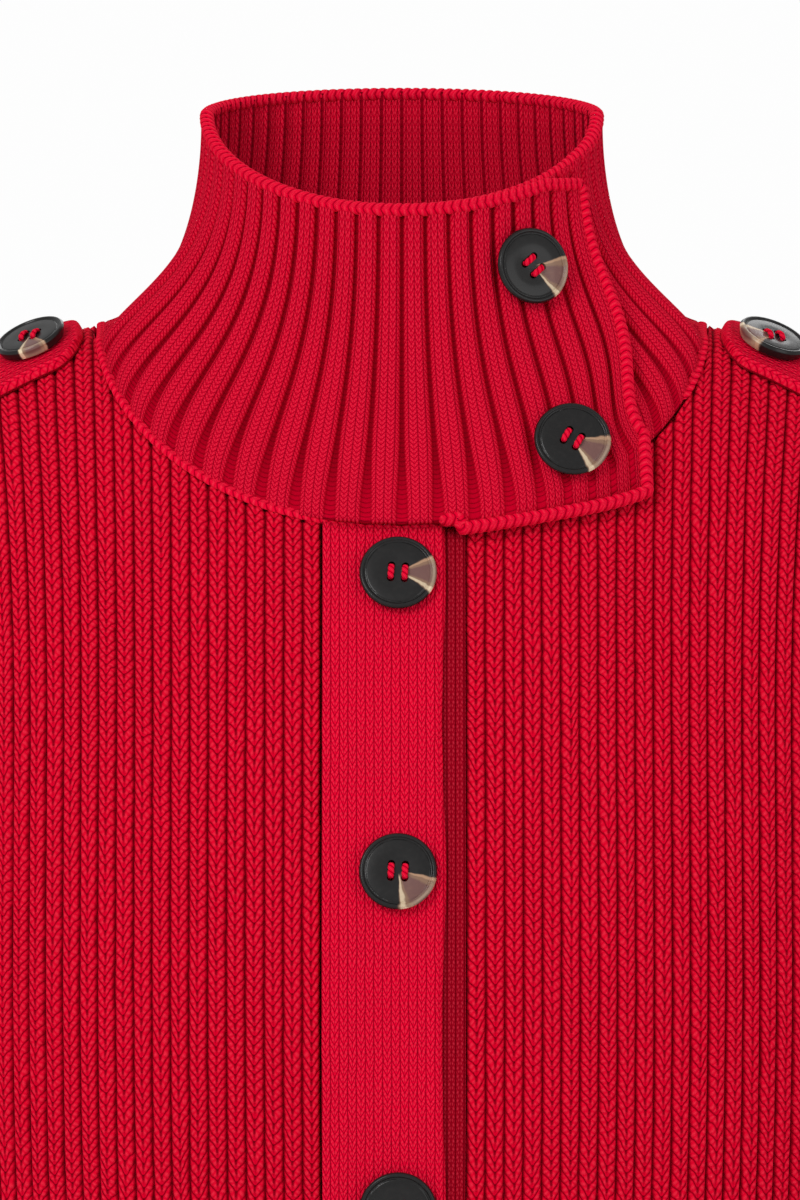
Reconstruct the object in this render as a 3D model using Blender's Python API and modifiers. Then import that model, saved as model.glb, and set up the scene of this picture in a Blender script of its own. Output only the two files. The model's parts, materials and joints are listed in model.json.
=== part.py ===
"""A button-front cardigan in chunky rib knit, filled out as if worn, with a funnel collar.

Frame: metres, +Z up, the front faces -Y and the wearer's left is +X. The origin lies between the two
points where the neck meets the shoulders, which is where the wearer carries it.
The body is a tube of level sections that closes over the shoulders as an arch. Every wall, band, strap
and button takes its place from that one surface.
"""

from collections import namedtuple
from math import asin, copysign, cos, hypot, pi, radians, sin, sqrt, tan

import bmesh
import bpy
from mathutils import Vector

# Knit
WALL = 0.0042
RIB_DEPTH = 0.0016
RIB_PITCH = 0.0072
SEAM_GAP = 0.0003
ARMHOLE_GAP = 0.0008
COLLAR_GAP = 0.0009
COLLAR_CORNER_GAP = 0.0010  # more, where the neckline turns up to the shoulder
INNER_REACH = 0.0120  # how far apart the plain inside's columns are, at most
SEAM_STEP = 0.0125  # how far apart the outside's columns are along a seam, at most

# Body
HEM_HEIGHT = -0.600
ARCH_BASE = -0.150  # above this level the body closes over the shoulders
SECTION_POWER = 2.3  # 2 is an ellipse, more is squarer
NECK_HALF_WIDTH = 0.112
NECK_DROP = 0.0745  # at the front centre, from the level of the shoulders
NECK_DROP_BACK = 0.022
NECK_POWER = 0.5  # half an ellipse, as seen from the front
NECK_POWER_BACK = 1.0  # a parabola
RIDGE_TOP = 0.0046
RIDGE_ROUND = 0.018
SHOULDER_SLOPE = radians(24)
ARMHOLE_SHARE = 0.87  # of the half width, where the armhole runs upright
ARMHOLE_DROP = 0.075
SHOULDER_FAN = 0.08  # how far the outer ribs spread towards the shoulder point

Section = namedtuple("Section", "height half_width front_depth back_depth")
TORSO = (
    Section(0.020, 0.190, 0.097, 0.100),
    Section(-0.073, 0.190, 0.097, 0.100),
    Section(-0.110, 0.190, 0.1025, 0.099),
    Section(-0.150, 0.190, 0.113, 0.097),
    Section(-0.200, 0.190, 0.130, 0.096),
    Section(-0.250, 0.190, 0.136, 0.094),
    Section(-0.315, 0.188, 0.135, 0.088),
    Section(-0.400, 0.181, 0.122, 0.080),
    Section(-0.480, 0.180, 0.116, 0.086),
    Section(-0.610, 0.186, 0.120, 0.098),
)
LOWER_ROWS = (0.0, 0.25, 0.48, 0.68, 0.85, 1.0)  # share of the way from the hem to the arch
UPPER_ROWS = (0.25, 0.50, 0.75, 1.0)  # share of the arch's angle

# Bands
BAND_THICKNESS = 0.0030
BAND_PROUD = 0.0016
BAND_SEAM_X = -0.0287
BAND_EDGE_X = 0.0158
BAND_EDGE_SWELL = 0.0014
UNDER_BAND_X = -0.0180
UNDER_SEAM_X = 0.0230
BAND_COLUMNS = 4
BAND_ROW_STEP = 0.030

# Collar
COLLAR_WALL = 0.0032
COLLAR_WAVE = 0.0008
COLLAR_MID_LIFT = -0.0016
COLLAR_FRONT_RIBS = 14
COLLAR_BACK_RIBS = 13
COLLAR_TAB_RIBS = 9.0
COLLAR_RIB_WIDTH = 0.010
COLLAR_ROWS = 5
TAB_LIFT = COLLAR_WALL + 2 * COLLAR_WAVE + SEAM_GAP
TAB_RAMP_RIBS = 4
TAB_TOP_HEIGHT = 0.0515
TAB_DROP_START_X = 0.0205
TAB_DROP_FULL_X = 0.097
TAB_DROP = 0.017
TAB_HANG = 0.003
RIM_HALF_WIDTH = 0.0708
RIM_FRONT_DEPTH = 0.060
RIM_BACK_DEPTH = 0.054
RIM_SIDE_HEIGHT = 0.078
RIM_FRONT_DIP = 0.036
RIM_BACK_RISE = 0.010
COLLAR_FRONT_PULL = 0.85  # how far the strip follows the body past the seam before it turns up
COLLAR_SIDE_PULL = 0.80
COLLAR_BACK_PULL = 0.40
COLLAR_RIM_PULL = 1.60
COLLAR_LEAN = 0.7  # 0 leaves the seam square to it, 1 heads for the rim
SEAM_TURN_SHARE = 0.15  # of the height, in which the strip's own direction takes over from the body's

# Sleeves
SLEEVE_RIBS = 36
SLEEVE_INNER_STEP = 3
SLEEVE_START = Vector((1.0, 0.0, -0.35))
ARM_LEAN = radians(12)
ARM_TOP = Vector((0.250, 0.0, -0.272))
ARM_LENGTH = 0.370
ARM_FORWARD = 0.025
Arm = namedtuple("Arm", "share half_width half_depth")
ARM_SECTIONS = (
    Arm(0.0, 0.048, 0.058),
    Arm(0.35, 0.044, 0.051),
    Arm(0.70, 0.040, 0.044),
    Arm(1.0, 0.036, 0.039),
)
SLEEVE_CAP_ROWS = (0.0, 0.12, 0.32, 0.54, 0.77, 1.0)
SLEEVE_ARM_ROWS = (0.35, 0.70, 1.0)

# Epaulettes
STRAP_TIP_X = 0.116
STRAP_TIP_ROUND = 0.011
STRAP_HALF_WIDTH = 0.018
STRAP_CENTRE_DOWN = 0.019  # from the top of the shoulder, down its front
STRAP_THICKNESS = 0.0036
STRAP_EDGE = 0.0016
STRAP_LIFT = 0.0005
STRAP_STATIONS = 12
STRAP_COLUMNS = (-1.0, -0.85, -0.45, 0.0, 0.45, 0.85, 1.0)

# Buttons
BUTTON_DIAMETER = 0.028
STRAP_BUTTON_DIAMETER = 0.0265
BUTTON_THICKNESS = 0.0042
BUTTON_FACE_DIP = 0.0008
BUTTON_RIM = 0.0018
BUTTON_RIM_SLOPE = 0.0006
BUTTON_SIDE_SHARE = 0.75
BUTTON_FOOT_INSET = 0.0013
BUTTON_HOLE_DIAMETER = 0.0021
BUTTON_HOLE_SPREAD = 0.0022
BUTTON_STEPS = 14
HOLE_STEPS = 6
BAND_BUTTON_X = -0.0014
BAND_BUTTON_HEIGHTS = (-0.0918, -0.1975, -0.3165, -0.4345, -0.5525)
CollarButton = namedtuple("CollarButton", "x height")
COLLAR_BUTTONS = (CollarButton(0.0445, 0.0190), CollarButton(0.0608, -0.0460))
COLLAR_BUTTON_REACH = (1.6, 0.16)  # ribs, and share of the collar's height, that a button covers
STRAP_BUTTON_X = 0.1330

Finish = namedtuple("Finish", "colour roughness")
BODY_KNIT = Finish((0.58, 0.0, 0.02), 0.9)
BAND_KNIT = Finish((0.70, 0.0, 0.03), 0.9)
COLLAR_KNIT = Finish((0.62, 0.0, 0.025), 0.9)
BUTTON_RESIN = Finish((0.025, 0.023, 0.022), 0.3)


# ---------------------------------------------------------------- curves and tables


def read_table(rows, place, column, key):
    """A column's value at a place, on a smooth curve through the rows, which run from high to low."""
    rows = sorted(rows, key=lambda row: getattr(row, key))
    places = [getattr(row, key) for row in rows]
    values = [getattr(row, column) for row in rows]
    place = min(max(place, places[0]), places[-1])
    after = next(i for i in range(1, len(places)) if place <= places[i])
    before = after - 1

    def slope(i):
        low, high = max(i - 1, 0), min(i + 1, len(places) - 1)
        return (values[high] - values[low]) / (places[high] - places[low])

    width = places[after] - places[before]
    t = (place - places[before]) / width
    return hermite(values[before], values[after], slope(before) * width, slope(after) * width, t)


def hermite(start, end, start_pull, end_pull, t):
    """A cubic from start to end, for numbers or vectors."""
    t2, t3 = t * t, t * t * t
    return (
        start * (2 * t3 - 3 * t2 + 1)
        + end * (3 * t2 - 2 * t3)
        + start_pull * (t3 - 2 * t2 + t)
        + end_pull * (t3 - t2)
    )


def smooth_step(t):
    t = min(max(t, 0.0), 1.0)
    return t * t * (3 - 2 * t)


def signed_power(value, power):
    return copysign(abs(value) ** power, value)


class Run:
    """A curve through points, and the surface's normals there, read by the share of its length."""

    def __init__(self, points, normals=None):
        self.points = points
        self.normals = normals
        self.marks = [0.0]
        for a, b in zip(points, points[1:]):
            self.marks.append(self.marks[-1] + (b - a).length)
        self.length = self.marks[-1]

    def read(self, values, share):
        distance = min(max(share, 0.0), 1.0) * self.length
        i = next(i for i in range(1, len(self.marks)) if distance <= self.marks[i] + 1e-12)
        span = self.marks[i] - self.marks[i - 1]
        return values[i - 1].lerp(values[i], (distance - self.marks[i - 1]) / span)

    def at(self, share):
        return self.read(self.points, share)

    def normal_at(self, share):
        return self.read(self.normals, share).normalized()


# ---------------------------------------------------------------- the body's surface


def ridge_height(x):
    """The top of the shoulder: nearly level at the neck, then falling at the shoulder's slope."""
    out = abs(x) - NECK_HALF_WIDTH
    return RIDGE_TOP - tan(SHOULDER_SLOPE) * (hypot(out, RIDGE_ROUND) + out) / 2


def torso_point(turn, rise):
    """A point of the outside. turn is the angle round from the front centre towards +X. Up to 0, rise is
    the height over the arch's base; over 0 it is the arch's angle, pi/2 on the shoulder's ridge."""
    power = 2 / SECTION_POWER
    across, along = signed_power(sin(turn), power), signed_power(cos(turn), power)
    angle = max(rise, 0.0)
    height = ARCH_BASE + min(rise, 0.0)
    fan = 1 + SHOULDER_FAN * (across / ARMHOLE_SHARE) ** 2 * sin(angle) ** 2
    x = read_table(TORSO, height, "half_width", "height") * across * fan
    height += (ridge_height(x) - ARCH_BASE) * sin(angle)
    side = "front_depth" if along > 0 else "back_depth"
    return Vector((x, -read_table(TORSO, height, side, "height") * along * cos(angle), height))


def torso_normal(turn, rise):
    step = 1e-3
    across = torso_point(turn + step, rise) - torso_point(turn - step, rise)
    up = torso_point(turn, rise + step) - torso_point(turn, rise - step)
    return across.cross(up).normalized()


def lifted(turn, rise, lift):
    return torso_point(turn, rise) + torso_normal(turn, rise) * lift


def turn_at(share):
    """The angle whose point lies at this share of the half width, on the front."""
    return asin(signed_power(min(max(share, -1.0), 1.0), SECTION_POWER / 2))


def turn_at_x(x):
    return turn_at(x / read_table(TORSO, ARCH_BASE, "half_width", "height"))


def neck_height(x, front):
    """The neckline's height, which reaches the ridge at each end."""
    drop, power = (NECK_DROP, NECK_POWER) if front else (NECK_DROP_BACK, NECK_POWER_BACK)
    end = ridge_height(NECK_HALF_WIDTH)
    return end - (end + drop) * max(0.0, 1 - (x / NECK_HALF_WIDTH) ** 2) ** power


def arch_angle(turn, height):
    """The arch's angle at which the surface reaches a height."""
    low, high = 0.0, pi / 2
    for _ in range(40):
        middle = (low + high) / 2
        if torso_point(turn, middle).z < height:
            low = middle
        else:
            high = middle
    return low


def neck_angle(turn):
    """The arch's angle at the neckline, or at the shoulder seam for a rib outside it."""
    x = torso_point(turn, pi / 2).x
    if abs(x) >= NECK_HALF_WIDTH - 1e-6:
        return pi / 2
    return arch_angle(turn, neck_height(x, front=cos(turn) > 0))


def turn_at_ridge(x):
    """The angle of the front rib that meets the shoulder's ridge at this place."""
    low, high = 0.0, pi / 2
    for _ in range(40):
        middle = (low + high) / 2
        low, high = (middle, high) if torso_point(middle, pi / 2).x < x else (low, middle)
    return low


def armhole_rise(turn):
    """The height over the arch's base where a rib under the arm ends."""
    half = read_table(TORSO, ARCH_BASE, "half_width", "height")
    x = half * abs(signed_power(sin(turn), 2 / SECTION_POWER))
    out = min(1.0, (half - x) / (half * (1 - ARMHOLE_SHARE)))
    return -ARMHOLE_DROP * sqrt(1 - out * out)


def spaced_turns(start, end, pitch):
    """Angles from start to end that lie evenly along the body's section, an even number of steps."""
    fine = 400
    turns = [start + (end - start) * i / fine for i in range(fine + 1)]
    run = Run([torso_point(turn, 0.0) for turn in turns])
    steps = 2 * max(1, round(run.length / pitch))
    spaced, i = [start], 0
    for step in range(1, steps):
        mark = run.length * step / steps
        while run.marks[i + 1] < mark:
            i += 1
        share = (mark - run.marks[i]) / (run.marks[i + 1] - run.marks[i])
        spaced.append(turns[i] + (turns[i + 1] - turns[i]) * share)
    return spaced + [end]


# ---------------------------------------------------------------- meshes


def zip_strip(bm, first, second):
    """Triangles between two runs of vertices with unlike counts."""
    i = j = 0
    last_i, last_j = len(first) - 1, len(second) - 1
    while i < last_i or j < last_j:
        next_i = (i + 1) / last_i if i < last_i else 2.0
        next_j = (j + 1) / last_j if j < last_j else 2.0
        if next_i <= next_j:
            bm.faces.new((first[i], first[i + 1], second[j]))
            i += 1
        else:
            bm.faces.new((first[i], second[j + 1], second[j]))
            j += 1


def add_sheet(bm, columns, closed=False):
    """Faces between columns of points; a column may be shorter than its neighbour."""
    verts = [[bm.verts.new(point) for point in column] for column in columns]
    pairs = list(zip(verts, verts[1:])) + ([(verts[-1], verts[0])] if closed else [])
    for a, b in pairs:
        for row in range(min(len(a), len(b)) - 1):
            bm.faces.new((a[row], b[row], b[row + 1], a[row + 1]))
    return verts


def finish(name, bm, finish_row):
    """Turns a closed mesh's faces outwards and makes it an object in the garment's collection."""
    bmesh.ops.recalc_face_normals(bm, faces=bm.faces)
    if bm.calc_volume(signed=True) < 0:
        bmesh.ops.reverse_faces(bm, faces=bm.faces)
    mesh = bpy.data.meshes.new(name)
    bm.to_mesh(mesh)
    bm.free()
    return add_object(name, mesh, finish_row)


def add_object(name, mesh, finish_row):
    if not mesh.materials:
        mesh.materials.append(make_material(name, finish_row))
    thing = bpy.data.objects.new(name, mesh)
    garment.objects.link(thing)
    return thing


def make_material(name, finish_row):
    material = bpy.data.materials.new(name)
    material.use_nodes = True
    shader = material.node_tree.nodes["Principled BSDF"]
    shader.inputs["Base Color"].default_value = (*finish_row.colour, 1.0)
    shader.inputs["Roughness"].default_value = finish_row.roughness
    shader.inputs["Metallic"].default_value = 0.0
    return material


def closed_strip(name, outer, inner, finish_row):
    """An open wall from two grids of the same columns and rows, closed at its four edges."""
    bm = bmesh.new()
    out, back = add_sheet(bm, outer), add_sheet(bm, inner)
    zip_strip(bm, out[0], back[0])
    zip_strip(bm, out[-1], back[-1])
    zip_strip(bm, [column[0] for column in out], [column[0] for column in back])
    zip_strip(bm, [column[-1] for column in out], [column[-1] for column in back])
    return finish(name, bm, finish_row)


# ---------------------------------------------------------------- body panels

Part = namedtuple("Part", "turns tall")  # a run of ribs that reach the shoulder, or end under the arm


def seam_point(turn, tall):
    """Where a rib ends: at the neckline or shoulder, or at the armhole."""
    return torso_point(turn, neck_angle(turn) if tall else armhole_rise(turn))


def rib_columns(part):
    """A part's columns as angle and lift: crest and groove by turns, with more where its seam is steep."""

    def split(a, b):
        if (seam_point(a[0], part.tall) - seam_point(b[0], part.tall)).length < SEAM_STEP:
            return [a]
        middle = ((a[0] + b[0]) / 2, (a[1] + b[1]) / 2)
        return split(a, middle) + split(middle, b)

    ribs = [(turn, -RIB_DEPTH * (i % 2)) for i, turn in enumerate(part.turns)]
    columns = []
    for a, b in zip(ribs, ribs[1:]):
        columns += split(a, b)
    return columns + ribs[-1:]


def panel_column(turn, tall, lift, side_shift):
    """One column from the hem to the armhole, or on over the arch to the neckline or shoulder."""
    hem = HEM_HEIGHT - ARCH_BASE
    top = 0.0 if tall else armhole_rise(turn)
    rises = [hem + (top - hem) * share for share in LOWER_ROWS]
    if tall:
        end = neck_angle(turn)
        end = min(end, pi / 2 - SEAM_GAP / 2 / abs(torso_point(turn, 0.0).y))
        rises += [end * share for share in UPPER_ROWS]
    return [lifted(turn, rise, lift) + Vector((0.0, side_shift, 0.0)) for rise in rises]


def panel(name, parts, facing):
    """A body panel: ribs raised in its outer columns, over a plain inside with fewer columns. facing is
    -1 on a front and 1 on the back, and draws the side seam's column back from it."""
    columns, corners = [], [0]
    for part in parts:
        new = [(turn, lift, part.tall) for turn, lift in rib_columns(part)]
        if columns:
            columns[-1] = (*columns[-1][:2], columns[-1][2] or part.tall)
            new = new[1:]
        columns += new
        corners.append(len(columns) - 1)

    def side_shift(turn):
        return facing * SEAM_GAP / 2 if abs(cos(turn)) < 1e-9 else 0.0

    def grid(picked, lift=None):
        return [
            panel_column(turn, tall, crest if lift is None else lift, side_shift(turn))
            for turn, crest, tall in picked
        ]

    tops = [seam_point(turn, tall) for turn, _, tall in columns]
    inner_indices = [0]
    for i in range(1, len(columns)):
        if i in corners or (tops[i + 1] - tops[inner_indices[-1]]).length > INNER_REACH:
            inner_indices.append(i)
    bm = bmesh.new()
    outer = add_sheet(bm, grid(columns))
    inner = add_sheet(bm, grid([columns[i] for i in inner_indices], -WALL))
    arch_row = len(LOWER_ROWS) - 1
    inner_corners = [inner_indices.index(corner) for corner in corners]

    def edges(sheet, ends):
        runs = [sheet[0], sheet[-1], [column[0] for column in sheet]]
        for (a, b), part in zip(zip(ends, ends[1:]), parts):
            row = -1 if part.tall else arch_row
            runs.append([column[row] for column in sheet[a : b + 1]])
        for end, left, right in zip(ends[1:-1], parts, parts[1:]):
            if left.tall != right.tall:
                runs.append(sheet[end][arch_row:])
        return runs

    for first, second in zip(edges(outer, corners), edges(inner, inner_corners)):
        zip_strip(bm, first, second)
    return finish(name, bm, BODY_KNIT)


def body_parts():
    """Each panel's runs of ribs: under the arm, over the shoulder and up to the neckline."""
    armhole, half = turn_at(ARMHOLE_SHARE), pi / 2
    front_corner = turn_at_ridge(NECK_HALF_WIDTH)
    back_corner = pi - front_corner
    right_edge = turn_at_x(BAND_SEAM_X - SEAM_GAP / 2)
    left_edge = turn_at_x(UNDER_SEAM_X + SEAM_GAP / 2)

    def run(start, end, tall=True):
        return Part(spaced_turns(start, end, RIB_PITCH), tall)

    return {
        "front_right": (
            run(-half, -armhole, False), run(-armhole, -front_corner), run(-front_corner, right_edge),
        ),
        "front_left": (
            run(left_edge, front_corner), run(front_corner, armhole), run(armhole, half, False),
        ),
        "back": (
            run(half, pi - armhole, False), run(pi - armhole, back_corner), run(back_corner, pi),
            run(pi, 2 * pi - back_corner), run(2 * pi - back_corner, pi + armhole),
            run(pi + armhole, 3 * half, False),
        ),
    }


# ---------------------------------------------------------------- button band and under band


def front_point(x, height, lift):
    """A point of the front at a place seen from the front, its x measured at the arch's base."""
    turn = turn_at_x(x)
    rise = height - ARCH_BASE
    return lifted(turn, rise if rise <= 0 else arch_angle(turn, height), lift)


def band_edge(height):
    """The free edge, which swells a little at each button."""
    swell = max(
        smooth_step(1 - abs(height - button) / (1.6 * BUTTON_DIAMETER)) for button in BAND_BUTTON_HEIGHTS
    )
    return BAND_EDGE_X - BAND_EDGE_SWELL * (1 - swell)


def band(name, left, right, lift):
    """A plain band from the neckline to the hem, its edges given as functions of the height."""
    rows = round((-NECK_DROP - HEM_HEIGHT) / BAND_ROW_STEP)

    def columns(lift_here):
        grid = []
        for column in range(BAND_COLUMNS + 1):
            across = column / BAND_COLUMNS
            points = []
            for row in range(rows + 1):
                share = row / rows
                guess = HEM_HEIGHT + (-NECK_DROP - HEM_HEIGHT) * share
                x = left(guess) + (right(guess) - left(guess)) * across
                top = torso_point(turn_at_x(x), neck_angle(turn_at_x(x))).z
                points.append(front_point(x, HEM_HEIGHT + (top - HEM_HEIGHT) * share, lift_here))
            grid.append(points)
        return grid

    return closed_strip(name, columns(lift), columns(lift - BAND_THICKNESS), BAND_KNIT)


# ---------------------------------------------------------------- collar


def neck_quarter(*parts):
    """The neckline through the ends of the body's own ribs."""
    turns = []
    for part in parts:
        turns = turns[:-1] + [turn for turn, _ in rib_columns(part)]
    points = [lifted(turn, neck_angle(turn), COLLAR_MID_LIFT) for turn in turns]
    return Run(points, [torso_normal(turn, neck_angle(turn)) for turn in turns])


def rim_point(angle):
    """The collar's rim: level round the back, dipping towards the front."""
    depth = RIM_FRONT_DEPTH if cos(angle) > 0 else RIM_BACK_DEPTH
    slope = RIM_FRONT_DIP if cos(angle) > 0 else RIM_BACK_RISE
    x = RIM_HALF_WIDTH * sin(angle)
    return Vector((x, -depth * cos(angle), RIM_SIDE_HEIGHT - slope * cos(angle)))


def rim_quarter(start, end):
    steps = 60
    return Run([rim_point(start + (end - start) * i / steps) for i in range(steps + 1)])


class CollarForm:
    """The collar's middle surface, read by rib number from the front centre round the wearer's left."""

    def __init__(self):
        parts = body_parts()
        front = parts["front_left"][0].turns
        middle = Part(spaced_turns(0.0, front[0], RIB_PITCH), True)
        self.base = (neck_quarter(middle, parts["front_left"][0]), neck_quarter(parts["back"][2]))
        self.rim = (rim_quarter(0.0, pi / 2), rim_quarter(pi / 2, pi))
        self.turn = 2 * (COLLAR_FRONT_RIBS + COLLAR_BACK_RIBS)

    def quarter(self, rib):
        """The mirrored rib on the wearer's left, its quarter and its share of that quarter."""
        rib = rib % self.turn
        mirrored = rib > self.turn / 2
        rib = self.turn - rib if mirrored else rib
        if rib <= COLLAR_FRONT_RIBS:
            return mirrored, 0, rib / COLLAR_FRONT_RIBS
        return mirrored, 1, (rib - COLLAR_FRONT_RIBS) / COLLAR_BACK_RIBS

    def ends(self, rib):
        mirrored, quarter, share = self.quarter(rib)
        points = self.base[quarter].at(share), self.rim[quarter].at(share)
        if mirrored:
            points = [Vector((-point.x, point.y, point.z)) for point in points]
        return points

    def point(self, rib, share):
        """share is 0 on the neckline and 1 on the rim; below 0 it goes on down the chest, in metres."""
        base, rim = self.ends(rib)
        if share < 0:
            return front_point(base.x, base.z + share, COLLAR_MID_LIFT)
        step = 0.05
        along = self.ends(rib + step)[0] - self.ends(rib - step)[0]
        normal = self.seam_normal(rib)
        inward = along.cross(normal).normalized()
        to_rim = (rim - base) - normal * normal.dot(rim - base)
        inward = inward.lerp(to_rim.normalized(), COLLAR_LEAN)
        side = (base.x / NECK_HALF_WIDTH) ** 2
        inward.y *= 1 - side
        inward.normalize()
        middle_pull = COLLAR_FRONT_PULL if base.y < 0 else COLLAR_BACK_PULL
        base_pull = middle_pull + (COLLAR_SIDE_PULL - middle_pull) * side
        chord = (rim - base).length
        up = Vector((0.0, 0.0, 1.0))
        base = base + inward * (COLLAR_GAP + COLLAR_CORNER_GAP * side * side)
        return hermite(base, rim, inward * chord * base_pull, up * chord * COLLAR_RIM_PULL, share)

    def seam_normal(self, rib):
        """The body's own normal at the neckline."""
        mirrored, quarter, share = self.quarter(rib)
        normal = self.base[quarter].normal_at(share)
        return Vector((-normal.x, normal.y, normal.z)) if mirrored else normal

    def normal(self, rib, share):
        """The strip's normal, which starts as the body's own at the seam."""
        step, rise = 0.05, 0.01
        across = self.point(rib + step, max(share, 0)) - self.point(rib - step, max(share, 0))
        low, high = max(share - rise, 0.0), min(max(share, 0) + rise, 1.0)
        up = self.point(rib, high) - self.point(rib, low)
        blend = smooth_step(share / SEAM_TURN_SHARE)
        return self.seam_normal(rib).lerp(across.cross(up).normalized(), blend).normalized()

    def share_at_height(self, rib, height):
        low, high = 0.0, 1.0
        for _ in range(30):
            middle = (low + high) / 2
            low, high = (middle, high) if self.point(rib, middle).z < height else (low, middle)
        return low

    def layer(self, rib):
        """How far the strip stands out: 0, rising before the front centre to lie over its own start."""
        return TAB_LIFT * smooth_step((rib - self.turn + TAB_RAMP_RIBS) / (TAB_RAMP_RIBS - 0.5))

    def span(self, rib):
        """The strip's lowest and highest share: the tab hangs below the neckline and stops short of the
        rim, and elsewhere the strip runs from seam to rim."""
        bottom, top = 0.0, 1.0
        if rib > self.turn:
            x = self.ends(rib)[0].x
            past = (x - TAB_DROP_START_X) / (TAB_DROP_FULL_X - TAB_DROP_START_X)
            bottom = -TAB_HANG - (TAB_DROP - TAB_HANG) * past * past if past > 0 else bottom
            top = self.share_at_height(rib, TAB_TOP_HEIGHT)
        return bottom, top

    def surface(self, rib, share, lift):
        return self.point(rib, share) + self.normal(rib, share) * (self.layer(rib) + lift)


def make_collar(form):
    ribs = form.turn + COLLAR_TAB_RIBS
    count = round(2 * ribs)
    outer, inner = [], []
    for i in range(count + 1):
        rib = ribs * i / count
        wave = COLLAR_WAVE if i % 2 else -COLLAR_WAVE
        bottom, top = form.span(rib)
        shares = [bottom + (top - bottom) * row / COLLAR_ROWS for row in range(COLLAR_ROWS + 1)]
        outer.append([form.surface(rib, share, COLLAR_WALL / 2 + wave) for share in shares])
        inner.append([form.surface(rib, share, wave - COLLAR_WALL / 2) for share in shares])
    return closed_strip("collar", outer, inner, COLLAR_KNIT)


# ---------------------------------------------------------------- sleeves


def armhole_loop():
    """The wearer's left armhole, from the shoulder point down the front and up the back."""
    armhole = turn_at(ARMHOLE_SHARE)

    def upright(turn):
        end = pi / 2 - SEAM_GAP / 2 / abs(torso_point(turn, 0.0).y)
        return [torso_point(turn, end * share) for share in reversed((0.0, *UPPER_ROWS))]

    parts = body_parts()
    under_front = [seam_point(turn, False) for turn, _ in rib_columns(parts["front_left"][-1])][1:]
    under_back = [seam_point(turn, False) for turn, _ in rib_columns(parts["back"][0])][:-1]
    return (
        Run(upright(armhole) + under_front),
        Run(under_back + list(reversed(upright(pi - armhole)))),
    )


def arm_point(share, angle):
    """The arm's tube, share 0 just below the armpit and 1 at the cuff; angle 0 is its outer side."""
    down = Vector((sin(ARM_LEAN), 0.0, -cos(ARM_LEAN)))
    out = Vector((cos(ARM_LEAN), 0.0, sin(ARM_LEAN)))
    centre = ARM_TOP + down * ARM_LENGTH * share + Vector((0.0, -ARM_FORWARD * share * share, 0.0))
    width = read_table(ARM_SECTIONS, share, "half_width", "share")
    depth = read_table(ARM_SECTIONS, share, "half_depth", "share")
    return centre + out * width * cos(angle) + Vector((0.0, -depth * sin(angle), 0.0))


class SleeveForm:
    """The sleeve's outside, read by share round it and by share of the cap, then of the arm."""

    def __init__(self):
        self.loops = armhole_loop()

    def point(self, around, along):
        around = around % 1.0
        angle = 2 * pi * around
        if along > 1:
            return arm_point(along - 1, angle)
        half, share = (0, 2 * around) if around <= 0.5 else (1, 2 * around - 1)
        start = self.loops[half].at(share)
        start = start + SLEEVE_START.normalized() * ARMHOLE_GAP
        end = arm_point(0.0, angle)
        pull = (end - start).length
        down = Vector((sin(ARM_LEAN), 0.0, -cos(ARM_LEAN)))
        return hermite(start, end, SLEEVE_START.normalized() * pull, down * pull, along)

    def lifted(self, around, along, lift):
        step = 0.004
        across = self.point(around - step, along) - self.point(around + step, along)
        low, high = max(along - step, 0.0), min(along + step, 2.0)
        up = self.point(around, low) - self.point(around, high)
        return self.point(around, along) + across.cross(up).normalized() * lift


def make_sleeve(name, form, mirrored):
    rows = list(SLEEVE_CAP_ROWS) + [1 + share for share in SLEEVE_ARM_ROWS]
    count = 2 * SLEEVE_RIBS

    def grid(step, lift_of):
        columns = []
        for i in range(0, count, step):
            column = [form.lifted(i / count, row, lift_of(i)) for row in rows]
            columns.append([Vector((-p.x, p.y, p.z)) for p in column] if mirrored else column)
        return columns

    bm = bmesh.new()
    outer = add_sheet(bm, grid(1, lambda i: -RIB_DEPTH * (i % 2)), closed=True)
    inner = add_sheet(bm, grid(SLEEVE_INNER_STEP, lambda i: -WALL), closed=True)
    for row in (0, -1):
        first = [column[row] for column in outer + outer[:1]]
        second = [column[row] for column in inner + inner[:1]]
        zip_strip(bm, first, second)
    return finish(name, bm, BODY_KNIT)


# ---------------------------------------------------------------- epaulettes


def shoulder_frame(x, down):
    """The angle and the arch's angle of a point at a distance down the front of the shoulder."""
    turn = turn_at_ridge(x)
    angle, gone, step = pi / 2, 0.0, radians(0.25)
    here = torso_point(turn, angle)
    while gone < down:
        there = torso_point(turn, angle - step)
        gone += (there - here).length
        here, angle = there, angle - step
    return turn, angle


def strap_half_width(distance):
    """The strap's half width at a distance from its rounded tip."""
    if distance >= STRAP_TIP_ROUND:
        return STRAP_HALF_WIDTH
    return STRAP_HALF_WIDTH * sqrt(max(0.04, 1 - (1 - distance / STRAP_TIP_ROUND) ** 2))


def make_epaulette(name, mirrored):
    length = armhole_loop()[0].at(0.0).x - SEAM_GAP - STRAP_TIP_X
    profile = [(share, STRAP_EDGE if abs(share) == 1 else STRAP_THICKNESS) for share in STRAP_COLUMNS]
    top, under = [], []
    for station in range(STRAP_STATIONS + 1):
        distance = length * (station / STRAP_STATIONS) ** 1.5
        half = strap_half_width(distance)
        upper, lower = [], []
        for across, height in profile:
            frame = shoulder_frame(STRAP_TIP_X + distance, STRAP_CENTRE_DOWN + half * across)
            upper.append(lifted(*frame, STRAP_LIFT + height))
            lower.append(lifted(*frame, STRAP_LIFT))
        top.append(upper)
        under.append(lower)
    if mirrored:
        top = [[Vector((-p.x, p.y, p.z)) for p in row] for row in top]
        under = [[Vector((-p.x, p.y, p.z)) for p in row] for row in under]
    return closed_strip(name, top, under, BAND_KNIT)


# ---------------------------------------------------------------- buttons


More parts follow.
